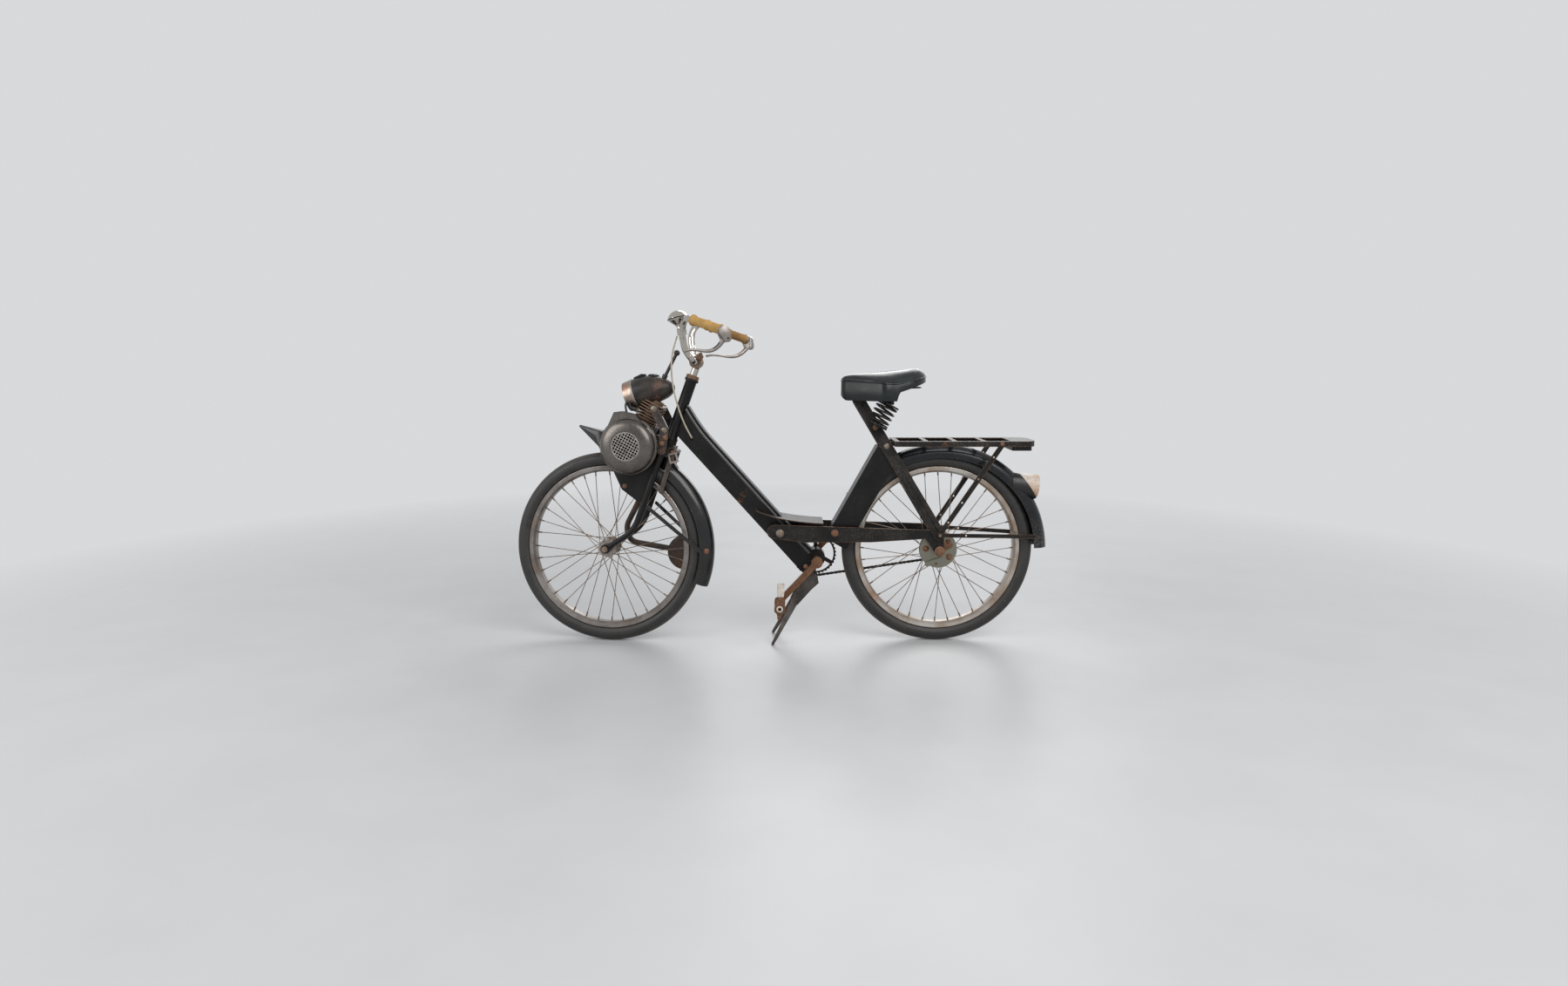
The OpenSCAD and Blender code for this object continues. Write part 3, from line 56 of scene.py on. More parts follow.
Socket = bpy.types.NodeSocket
Feed = Union[float, Colour, Vector, Socket]


def vec(*parts: float) -> Vector:
    """A vector of two or three parts."""
    return Vector(parts)


ACROSS = vec(0.0, 1.0, 0.0)
UPRIGHT = vec(0.0, 0.0, 1.0)


class Body(str, Enum):
    """Moving groups of the moped that carry pieces of this scene."""

    FRAME = "frame"
    STEERING = "steering"
    ENGINE = "engine"
    FRONT_WHEEL = "front_wheel"
    REAR_WHEEL = "rear_wheel"
    LEFT_PEDAL = "left_pedal"
    RIGHT_PEDAL = "right_pedal"

    @property
    def steered(self) -> bool:
        """Whether it turns with the bars."""
        return self in (Body.STEERING, Body.ENGINE, Body.FRONT_WHEEL)


class Side(Enum):
    """Left is the side that faces the camera."""

    LEFT = -1
    RIGHT = 1


# Sizes and places


@dataclass(frozen=True)
class Layout:
    """Main sizes in millimetres, about the middle of the axles."""

    wheelbase: float = 1000.0
    tyre_r: float = 290.0
    rake: float = 20.0
    fork_offset: float = 69.0
    parked: float = 6.5
    head_low: float = 380.0
    head_len: float = 184.0
    shift: float = 21.5
    bb: Pair = (132.0, 260.0)
    crank_len: float = 161.0
    roller_r: float = 32.0
    roller_gap: float = 1.0
    crankshaft_x: float = 81.0

    @property
    def front_axle(self) -> Vector:
        """Middle of the front axle."""
        return vec(-self.wheelbase / 2, 0.0, self.tyre_r)

    @property
    def rear_axle(self) -> Vector:
        """Middle of the rear axle."""
        return vec(self.wheelbase / 2, 0.0, self.tyre_r)

    @property
    def up(self) -> Vector:
        """Direction of the steering axis."""
        a = math.radians(self.rake)
        return vec(math.sin(a), 0.0, math.cos(a))

    @property
    def back(self) -> Vector:
        """Direction square to the steering axis, to the rear."""
        a = math.radians(self.rake)
        return vec(math.cos(a), 0.0, -math.sin(a))

    @property
    def foot(self) -> Vector:
        """Point of the steering axis nearest the front axle."""
        return self.front_axle + self.back * self.fork_offset

    @property
    def shaft(self) -> Vector:
        """Middle of the crankshaft."""
        reach = self.tyre_r + self.roller_gap + self.roller_r
        return self.front_axle + vec(self.crankshaft_x, 0.0, math.sqrt(reach ** 2 - self.crankshaft_x ** 2))

    @property
    def eye(self) -> Vector:
        """Place of the eye bolt above the rear axle, in the side view."""
        return self.rear_axle.xz + vec(-2.0, 50.0)

    @property
    def stay_top(self) -> Vector:
        """Upper end of the seat stays, in the side view."""
        return self.rear_axle.xz + vec(-242.0, 448.0)

    @property
    def clamp(self) -> Vector:
        """Middle of the stem's clamp."""
        return self.on_axis(self.head_len + 56.0, -4.0)

    @property
    def beam_root(self) -> Vector:
        """Lower corner of the main beam behind the head tube."""
        return self.on_axis(13.0, 21.0)

    def on_axis(self, s: float, back: float = 0.0) -> Vector:
        """Point along the steering axis, before the bars are turned.

        Args:
            s: distance along the axis from the head tube's lower end.
            back: distance to the rear of the axis.

        Returns:
            The point.
        """
        return self.foot + self.up * (self.head_low + s) + self.back * back

    def still(self, p: Vector) -> Vector:
        """A frame point in metres in the part's frame."""
        return vec(p.x - self.shift, p.y, p.z) / MM

    def turned(self, p: Vector) -> Vector:
        """A steered point, drawn straight ahead, at the parked angle in metres."""
        parked = Matrix.Rotation(math.radians(-self.parked), 3, self.up)
        return self.still(parked @ (p - self.foot) + self.foot)

    def place(self, p: Vector, body: Body) -> Vector:
        """A body's point in metres in the part's frame."""
        return self.turned(p) if body.steered else self.still(p)


LAY = Layout()


# Materials


class Wiring:
    """Small helper that adds and links nodes in a tree."""

    def __init__(self, tree: bpy.types.NodeTree) -> None:
        """Keep the tree."""
        self.tree = tree

    def node(self, kind: str, feeds: Optional[dict] = None, **settings: object) -> bpy.types.Node:
        """Add a node.

        Args:
            kind: its type, without the common prefix.
            feeds: values or outputs for its inputs, by name or number.
            settings: its own properties.

        Returns:
            The node.
        """
        n = self.tree.nodes.new(f"ShaderNode{kind}")
        for key, value in settings.items():
            setattr(n, key, value)
        self.feed(n, feeds or {})
        return n

    def feed(self, node: bpy.types.Node, feeds: dict) -> None:
        """Set or link a node's inputs, by name or number."""
        for key, value in feeds.items():
            socket = node.inputs[key]
            if isinstance(value, Socket):
                self.tree.links.new(value, socket)
            else:
                socket.default_value = (*value, 1.0) if socket.type == "RGBA" else value


class Nodes(Wiring):
    """A new material and the steps that its finish is made of."""

    def __init__(self, name: str) -> None:
        """Start a material of that name."""
        self.material = bpy.data.materials.new(name)
        self.material.use_nodes = True
        super().__init__(self.material.node_tree)
        self.bsdf = self.tree.nodes["Principled BSDF"]
        self.coords = self.node("TexCoord").outputs["Object"]

    def noise(self, scale: float, detail: float, rough: float = 0.55, offset: float = 0.0) -> Socket:
        """Noise in the object's own space.

        Args:
            scale: features per metre.
            detail: number of octaves.
            rough: strength of the fine octaves.
            offset: shift that gives another pattern.

        Returns:
            The noise's factor.
        """
        place = self.node("Mapping", {"Vector": self.coords, "Location": (offset, offset * 0.7, offset * 1.3)})
        return self.node("TexNoise", {"Scale": scale, "Detail": detail, "Roughness": rough,
                                      "Vector": place.outputs["Vector"]}).outputs["Fac"]

    def cells(self, scale: float) -> Socket:
        """Distance to the nearest of scattered cells."""
        return self.node("TexVoronoi", {"Scale": scale, "Vector": self.coords}).outputs["Distance"]

    def span(self, value: Socket, low: float, high: float, to_low: float = 0.0, to_high: float = 1.0) -> Socket:
        """Map a span of a value to another, held at both ends."""
        return self.node("MapRange", {"Value": value, "From Min": low, "From Max": high, "To Min": to_low,
                                      "To Max": to_high}).outputs["Result"]

    def maths(self, kind: str, a: Feed, b: Feed) -> Socket:
        """One maths step between two values."""
        clamp = kind in {"ADD", "MAXIMUM"}
        return self.node("Math", {0: a, 1: b}, operation=kind, use_clamp=clamp).outputs["Value"]

    def both(self, a: Feed, b: Feed) -> Socket:
        """Product of two masks."""
        return self.maths("MULTIPLY", a, b)

    def vectors(self, kind: str, a: Feed, b: Feed, output: str = "Value") -> Socket:
        """One step between two vectors."""
        return self.node("VectorMath", {0: a, 1: b}, operation=kind).outputs[output]

    def mix(self, factor: Feed, a: Feed, b: Feed) -> Socket:
        """Blend two colours."""
        return self.node("Mix", {0: factor, 6: a, 7: b}, data_type="RGBA").outputs[2]

    def normal(self) -> Socket:
        """Normal of the surface."""
        return self.node("NewGeometry").outputs["Normal"]

    def edges(self, radius: float) -> Socket:
        """Mask of the piece's sharp edges, 1 at an edge."""
        bevel = self.node("Bevel", {"Radius": radius}, samples=4)
        return self.span(self.vectors("DOT_PRODUCT", bevel.outputs["Normal"], self.normal()), 0.995, 0.8)

    def away_from(self, centre: Vector) -> Socket:
        """Distance from a point in metres."""
        return self.vectors("DISTANCE", self.coords, centre)

    def height(self) -> Socket:
        """Height above the floor in metres."""
        return self.node("SeparateXYZ", {"Vector": self.coords}).outputs["Z"]

    def inward(self, centre: Vector) -> Socket:
        """Mask of the faces that look towards a point, 1 inside a shell round it."""
        offset = self.vectors("SUBTRACT", self.coords, centre, "Vector")
        turned = self.node("VectorTransform", {"Vector": self.normal()}, vector_type="NORMAL",
                           convert_from="WORLD", convert_to="OBJECT")
        return self.span(self.vectors("DOT_PRODUCT", turned.outputs["Vector"], offset), 0.0005, -0.0005)

    def bump(self, height: Socket, strength: float, depth: float) -> None:
        """Give the surface a fine relief."""
        relief = self.node("Bump", {"Strength": strength, "Distance": depth, "Height": height})
        self.surface({"Normal": relief.outputs["Normal"]})

    def surface(self, feeds: dict) -> None:
        """Set or link the surface's own inputs."""
        self.feed(self.bsdf, feeds)


@dataclass(frozen=True)
class Finish:
    """A worn finish: paint, plating, bare metal or rubber, with patches, chips, rust and edge wear, and, where a centre
    is given, painted shade on the faces that look towards it.
    """

    name: str
    base: Colour
    tone: Colour
    rust: Colour = (0.19, 0.075, 0.028)
    rust_cover: float = 0.1
    edge: float = 0.5
    chip: Colour = (0.20, 0.17, 0.14)
    chips: float = 0.2
    metallic: float = 0.0
    roughness: float = 0.4
    spread: float = 0.2
    relief: float = 0.15
    patch: float = 16.0
    coat: float = 0.0
    specular: float = 0.5
    low_rust: Optional[Pair] = None
    # Centre of the painted shade inside a shell: faces that look towards it are coloured near black.
    painted_shade_centre: Optional[Vector] = None
    foot: Optional[tuple[Vector, float]] = None

    def material(self) -> bpy.types.Material:
        """The finish's material, made once."""
        return bpy.data.materials.get(self.name) or self.build()

    def rusted(self, n: Nodes, grain: Socket) -> Socket:
        """Mask of the rust, from stains, a rusty lower end and worn edges.

        Args:
            n: the material.
            grain: its fine noise.

        Returns:
            The mask.
        """
        clouds = n.noise(self.patch * 0.6, 4.0, 0.6, offset=5.3)
        stain = n.both(n.span(grain, 0.30, 0.85),
                       n.span(clouds, 0.62 - 0.34 * self.rust_cover, 0.86 - 0.42 * self.rust_cover))
        if self.low_rust:
            down = n.span(n.height(), *self.low_rust)
            stain = n.maths("ADD", stain, n.both(down, n.span(grain, 0.36, 0.66, 0.0, 0.7)))
        worn = n.both(n.edges(0.0022), n.span(grain, 0.62 - 0.34 * self.edge, 0.74 - 0.28 * self.edge))
        return n.maths("MAXIMUM", n.span(stain, 0.10, 0.42), n.both(worn, min(1.0, self.edge * 1.4)))

    def build(self) -> bpy.types.Material:
        """Wire the material's nodes.

        Returns:
            The new material.
        """
        n = Nodes(self.name)
        patches = n.noise(self.patch, 5.0, 0.6)
        grain = n.noise(self.patch * 14.0, 6.0, 0.65, offset=3.1)
        colour = n.mix(n.span(patches, 0.38, 0.64), self.base, self.tone)
        specks = n.span(n.noise(420.0, 2.0, 0.5, offset=7.7), 0.70 - 0.12 * self.chips, 0.74 - 0.10 * self.chips)
        colour = n.mix(n.both(specks, n.span(patches, 0.40, 0.62)), colour, self.chip)
        mask = self.rusted(n, grain)
        bright = tuple(min(1.0, c * 2.1) for c in self.rust)
        mottle = n.span(n.noise(300.0, 4.0, 0.7, offset=1.9), 0.35, 0.68)
        colour = n.mix(mask, colour, n.mix(mottle, self.rust, bright))
        # Painted shade: faces that look towards the given centre, inside the fan cover, are coloured near black.
        if self.painted_shade_centre:
            colour = n.mix(n.inward(self.painted_shade_centre), colour, (0.004, 0.0038, 0.0036))
        if self.foot:
            centre, reach = self.foot
            colour = n.mix(n.span(n.away_from(centre), reach, reach + 0.0008), (0.008, 0.0076, 0.0072), colour)
        half = self.spread / 2
        rough = n.span(grain, 0.3, 0.75, max(0.03, self.roughness - half), self.roughness + half)
        n.surface({"Base Color": colour, "Roughness": n.maths("ADD", rough, n.both(mask, 0.35)),
                   "Coat Weight": self.coat, "Coat Roughness": 0.12, "Specular IOR Level": self.specular})
        if self.metallic:
            n.surface({"Metallic": n.span(mask, 0.2, 0.8, self.metallic, 0.0)})
        n.bump(n.maths("ADD", grain, n.both(mask, 0.5)), self.relief, 0.0006)
        return n.material


@dataclass(frozen=True)
class TyreFinish:
    """Grey-black rubber with a dusty brown tread and small specks."""

    name: str
    centre: Vector
    rubber: Colour = (0.0125, 0.0118, 0.0112)
    dust: Colour = (0.058, 0.047, 0.038)
    speck: Colour = (0.22, 0.19, 0.16)

    def material(self) -> bpy.types.Material:
        """The tyre's material, with dust on its tread."""
        n = Nodes(self.name)
        far = n.away_from(self.centre)
        patches = n.noise(22.0, 6.0, 0.65)
        tread = n.both(n.span(far, 0.2795, 0.2885), n.span(patches, 0.25, 0.7, 0.45, 1.0))
        foot = n.both(n.span(far, 0.268, 0.250), n.span(patches, 0.35, 0.7, 0.0, 0.6))
        colour = n.mix(n.span(patches, 0.35, 0.7), self.rubber, tuple(c * 1.9 for c in self.rubber))
        colour = n.mix(n.maths("MAXIMUM", tread, foot), colour, self.dust)
        specks = n.span(n.noise(520.0, 2.0, 0.5, offset=4.0), 0.66, 0.72)
        n.surface({"Base Color": n.mix(n.both(specks, 0.5), colour, self.speck),
                   "Roughness": n.span(patches, 0.3, 0.7, 0.42, 0.66)})
        n.bump(n.noise(700.0, 4.0, 0.6), 0.25, 0.0004)
        return n.material


@dataclass(frozen=True)
class VinylFinish:
    """Glossy black vinyl with a fine grain and dull scuffs."""

    name: str
    base: Colour = (0.0050, 0.0075, 0.0075)
    dull: Colour = (0.017, 0.021, 0.021)

    def material(self) -> bpy.types.Material:
        """The saddle cover's material."""
        n = Nodes(self.name)
        scuff = n.noise(18.0, 6.0, 0.7)
        n.surface({"Base Color": n.mix(n.span(scuff, 0.40, 0.75), self.base, self.dull),
                   "Roughness": n.span(scuff, 0.35, 0.75, 0.24, 0.42),
                   "Specular IOR Level": 0.32, "Coat Weight": 0.08, "Coat Roughness": 0.18})
        n.bump(n.maths("ADD", n.cells(900.0), n.both(n.noise(30.0, 3.0), 0.8)), 0.10, 0.0004)
        return n.material


@dataclass(frozen=True)
class GlassFinish:
    """Old coloured or clear glass with a haze of dirt."""

    name: str
    base: Colour
    see_through: float

    def material(self) -> bpy.types.Material:
        """The glass's material."""
        n = Nodes(self.name)
        haze = n.noise(60.0, 5.0, 0.6)
        n.surface({"Base Color": n.mix(n.span(haze, 0.45, 0.8), self.base, tuple(c * 0.6 for c in self.base)),
                   "Roughness": n.span(haze, 0.3, 0.8, 0.06, 0.30),
                   "Transmission Weight": self.see_through, "IOR": 1.48})
        return n.material


Look = Union[Finish, TyreFinish, VinylFinish, GlassFinish]


class Paint:
    """The moped's finishes, named for what they cover."""

    BLACK = Finish("black_enamel", (0.0062, 0.0062, 0.0066), (0.0115, 0.0110, 0.0105), rust_cover=0.06, edge=0.42,
                   chip=(0.070, 0.060, 0.050), chips=0.35, roughness=0.36, spread=0.24, relief=0.10, coat=0.05,
                   specular=0.18)
    GUARD = Finish("guard_enamel", (0.0060, 0.0068, 0.0080), (0.0135, 0.0140, 0.0155), rust=(0.105, 0.100, 0.090),
                   rust_cover=0.03, edge=0.35, low_rust=(0.46, 0.14), chip=(0.16, 0.16, 0.15), roughness=0.26,
                   spread=0.16, relief=0.06, coat=0.10, specular=0.28)
    FRONT_GUARD = Finish("front_guard_enamel", (0.0060, 0.0062, 0.0066), (0.0130, 0.0120, 0.0110),
                         rust=(0.10, 0.070, 0.045), rust_cover=0.04, edge=0.4, chips=0.3, roughness=0.22, spread=0.12,
                         relief=0.05, coat=0.15, specular=0.40)
    FRAME_BAR = Finish("stay_enamel", (0.0085, 0.0080, 0.0078), (0.0180, 0.0158, 0.0140), rust=(0.20, 0.095, 0.045),
                       rust_cover=0.10, edge=0.75, chip=(0.125, 0.110, 0.090), chips=0.8, roughness=0.44, relief=0.2,
                       specular=0.20)
    # Near-black oily steel; on the crankshaft's fan it is darkened further as painted shade inside the fan cover.
    OIL_AND_SHADE = Finish("oily_black_painted_shade", (0.0040, 0.0038, 0.0036), (0.0085, 0.0078, 0.0070), rust_cover=0.05, edge=0.2,
                  chips=0.3, roughness=0.55, relief=0.3, patch=40.0, specular=0.25)
    # Glossier copy of the black enamel for the beam's ridge; its paler colour is a painted highlight along the ridge.
    RIDGE = Finish("ridge_enamel_painted_highlight", (0.014, 0.0135, 0.013), (0.030, 0.029, 0.027), rust_cover=0.05, edge=0.5, chips=0.3,
                   roughness=0.20, relief=0.08, patch=30.0, specular=0.9)
    LAMP = Finish("lamp_shell_enamel", (0.011, 0.0105, 0.010), (0.040, 0.030, 0.025), rust=(0.13, 0.068, 0.042),
                  rust_cover=0.24, edge=0.4, chips=0.4, roughness=0.36, relief=0.2, patch=22.0, specular=0.35)
    CHROME = Finish("worn_chrome", (0.45, 0.435, 0.405), (0.25, 0.24, 0.215), rust=(0.22, 0.10, 0.045), rust_cover=0.24,
                    edge=0.2, chip=(0.16, 0.10, 0.07), chips=0.6, metallic=1.0, roughness=0.26, relief=0.14, patch=26.0)
    RIM_CHROME = Finish("lamp_rim_plating", (0.38, 0.31, 0.265), (0.24, 0.17, 0.13), rust=(0.27, 0.10, 0.035),
                        rust_cover=0.40, edge=0.5, chips=0.5, metallic=1.0, roughness=0.30, relief=0.2)
    CLAMP = Finish("rusted_clamp", (0.20, 0.14, 0.10), (0.11, 0.075, 0.055), rust=(0.26, 0.11, 0.045), rust_cover=0.45,
                   edge=0.5, metallic=0.7, roughness=0.45, relief=0.3, patch=30.0)
    # Fan cover alloy; its inner faces round the crankshaft's end get painted shade.
    COVER = Finish("fan_cover_alloy", (0.082, 0.074, 0.066), (0.150, 0.136, 0.123), rust=(0.050, 0.038, 0.030),
                   rust_cover=0.26, edge=0.6, chip=(0.30, 0.28, 0.26), chips=0.3, metallic=0.85, roughness=0.30,
                   relief=0.20, patch=11.0, painted_shade_centre=LAY.turned(LAY.shaft - ACROSS * 84.0))
    GRILLE = Finish("fan_mesh_alloy", (0.42, 0.39, 0.36), (0.26, 0.235, 0.21), rust=(0.06, 0.045, 0.035),
                    rust_cover=0.15, edge=0.3, chips=0.4, metallic=0.8, roughness=0.38, relief=0.3, patch=60.0)
    CASE = Finish("crankcase_alloy", (0.030, 0.026, 0.023), (0.066, 0.056, 0.048), rust=(0.085, 0.047, 0.028),
                  rust_cover=0.32, edge=0.5, metallic=0.5, roughness=0.55, relief=0.35, patch=24.0)
    FINS = Finish("browned_fins", (0.185, 0.112, 0.070), (0.105, 0.064, 0.042), rust=(0.045, 0.030, 0.022),
                  rust_cover=0.16, edge=0.2, metallic=0.3, roughness=0.55, relief=0.35, patch=28.0)
    ARM = Finish("corroded_arm", (0.014, 0.012, 0.011), (0.046, 0.033, 0.026), rust=(0.105, 0.056, 0.036),
                 rust_cover=0.34, edge=0.6, chip=(0.20, 0.17, 0.15), chips=1.0, metallic=0.2, roughness=0.6, relief=0.6,
                 patch=34.0)
    SILENCER = Finish("silencer_steel", (0.028, 0.020, 0.016), (0.060, 0.039, 0.028), rust=(0.105, 0.048, 0.023),
                      rust_cover=0.40, edge=0.5, metallic=0.3, roughness=0.6, relief=0.4, patch=18.0)
    ALLOY = Finish("dull_alloy", (0.36, 0.325, 0.30), (0.24, 0.21, 0.19), rust=(0.14, 0.09, 0.06), rust_cover=0.16,
                   edge=0.25, chips=0.4, metallic=0.8, roughness=0.38, relief=0.2, patch=34.0)
    STEEL = Finish("old_steel", (0.115, 0.088, 0.066), (0.066, 0.050, 0.040), rust=(0.20, 0.088, 0.036),
                   rust_cover=0.28, edge=0.4, metallic=0.7, roughness=0.45, relief=0.25, patch=40.0)
    SPOKE = Finish("spoke_steel", (0.215, 0.165, 0.125), (0.120, 0.085, 0.060), rust=(0.17, 0.085, 0.042),
                   rust_cover=0.25, edge=0.0, metallic=0.8, roughness=0.40, relief=0.1, patch=20.0)
    FRONT_RIM = Finish("grey_rim", (0.30, 0.275, 0.255), (0.165, 0.145, 0.13), rust=(0.16, 0.085, 0.045),
                       rust_cover=0.20, edge=0.4, chips=0.5, metallic=0.8, roughness=0.36, relief=0.15)
    REAR_RIM = Finish("rusted_rim", (0.50, 0.47, 0.435), (0.30, 0.225, 0.165), rust=(0.20, 0.092, 0.040),
                      rust_cover=0.26, edge=1.0, chips=0.5, metallic=0.75, roughness=0.38, relief=0.2, patch=12.0)
    DRUM = Finish("drum_alloy", (0.115, 0.112, 0.090), (0.058, 0.055, 0.045), rust=(0.20, 0.090, 0.040),
                  rust_cover=0.24, edge=0.5, chips=0.6, metallic=0.55, roughness=0.42, relief=0.3, patch=30.0)
    CRANK = Finish("rusted_crank", (0.235, 0.120, 0.068), (0.140, 0.072, 0.042), rust=(0.11, 0.050, 0.026),
                   rust_cover=0.35, edge=0.4, metallic=0.75, roughness=0.40, relief=0.3, patch=30.0)
    STAND = Finish("stand_steel", (0.040, 0.036, 0.033), (0.090, 0.078, 0.068), rust=(0.15, 0.070, 0.034),
                   rust_cover=0.24, edge=0.75, chips=0.6, metallic=0.6, roughness=0.45, relief=0.25, patch=24.0)
    CHAIN = Finish("oily_chain", (0.011, 0.0095, 0.0085), (0.026, 0.020, 0.016), rust=(0.060, 0.034, 0.020),
                   rust_cover=0.15, edge=0.3, metallic=0.6, roughness=0.42, relief=0.2, patch=60.0)
    SPRING = Finish("spring_steel", (0.010, 0.0085, 0.0075), (0.024, 0.018, 0.014), rust_cover=0.12, edge=0.0,
                    metallic=0.5, roughness=0.34, relief=0.15, patch=40.0)
    CREAM = Finish("pale_lamp_enamel", (0.62, 0.565, 0.50), (0.50, 0.43, 0.355), rust=(0.32, 0.150, 0.060),
                   rust_cover=0.24, edge=0.6, chip=(0.28, 0.13, 0.06), chips=0.9, roughness=0.42, relief=0.2,
                   patch=26.0, low_rust=(0.520, 0.450), foot=(LAY.still(LAY.rear_axle), 0.334))
    GRIP = Finish("mustard_rubber", (0.40, 0.225, 0.050), (0.50, 0.300, 0.085), rust=(0.14, 0.070, 0.022),
                  rust_cover=0.10, edge=0.0, chip=(0.16, 0.08, 0.03), chips=0.4, roughness=0.52, relief=0.2, patch=40.0)
    # A darker, browner copy of the mustard grip rubber for the far grip: painted shade, with a little more wear.
    SHADED_FAR_GRIP = Finish("grip_rubber_painted_shade", (0.235, 0.115, 0.028), (0.330, 0.180, 0.050), rust=(0.085, 0.040, 0.016),
                      rust_cover=0.22, edge=0.0, chip=(0.10, 0.05, 0.02), chips=0.5, roughness=0.55, relief=0.25,
                      patch=40.0)
    BLOCK = Finish("pale_pedal_rubber", (0.66, 0.61, 0.545), (0.52, 0.455, 0.385), rust=(0.22, 0.13, 0.07),
                   rust_cover=0.14, edge=0.15, chips=0.3, roughness=0.6, relief=0.3, patch=44.0)
    SHEATH = Finish("pale_sheath", (0.50, 0.445, 0.355), (0.36, 0.31, 0.235), rust=(0.12, 0.08, 0.05), rust_cover=0.18,
                    edge=0.0, roughness=0.45, relief=0.1, patch=40.0)
    BOLT = Finish("bolt_steel", (0.26, 0.225, 0.185), (0.15, 0.12, 0.09), rust=(0.20, 0.10, 0.05), rust_cover=0.3,
                  edge=0.3, metallic=0.8, roughness=0.42, relief=0.3, patch=90.0)
    RUST_BOLT = Finish("rusted_bolt", (0.215, 0.105, 0.056), (0.130, 0.068, 0.040), rust=(0.14, 0.055, 0.024),
                       rust_cover=0.3, edge=0.1, metallic=0.1, roughness=0.75, relief=0.5, patch=90.0)
    RUBBER = Finish("black_hose", (0.010, 0.010, 0.010), (0.022, 0.021, 0.020), rust_cover=0.0, edge=0.0,
                    roughness=0.45, relief=0.15, patch=40.0)
    VINYL = VinylFinish("black_vinyl")
    RED = GlassFinish("red_glass", (0.30, 0.012, 0.010), 0.35)
    CLEAR = GlassFinish("lamp_glass", (0.80, 0.82, 0.80), 0.85)


# Meshes


def turn(steps: int) -> list[Pair]:
    """Cosine and sine of each step of a full turn."""
    return [(math.cos(a), math.sin(a)) for a in (FULL_TURN * k / steps for k in range(steps))]


def polar(a: float, r: float = 1.0) -> Vector:
    """Flat vector at an angle in radians."""
    return vec(math.cos(a), math.sin(a)) * r


def spin(deg: float, axis: str) -> Matrix:
    """Rotation in degrees about an axis."""
    return Matrix.Rotation(math.radians(deg), 4, axis)


def new_object(name: str, data: bpy.types.ID) -> bpy.types.Object:
    """Add an object to the scene."""
    obj = bpy.data.objects.new(name, data)
    bpy.context.scene.collection.objects.link(obj)
    return obj


def new_mesh(name: str, points: Sequence[Vector], faces: Sequence[tuple[int, ...]]) -> bpy.types.Object:
    """Add a mesh object to the scene."""
    mesh = bpy.data.meshes.new(name)
    mesh.from_pydata(points, [], faces)
    return new_object(name, mesh)


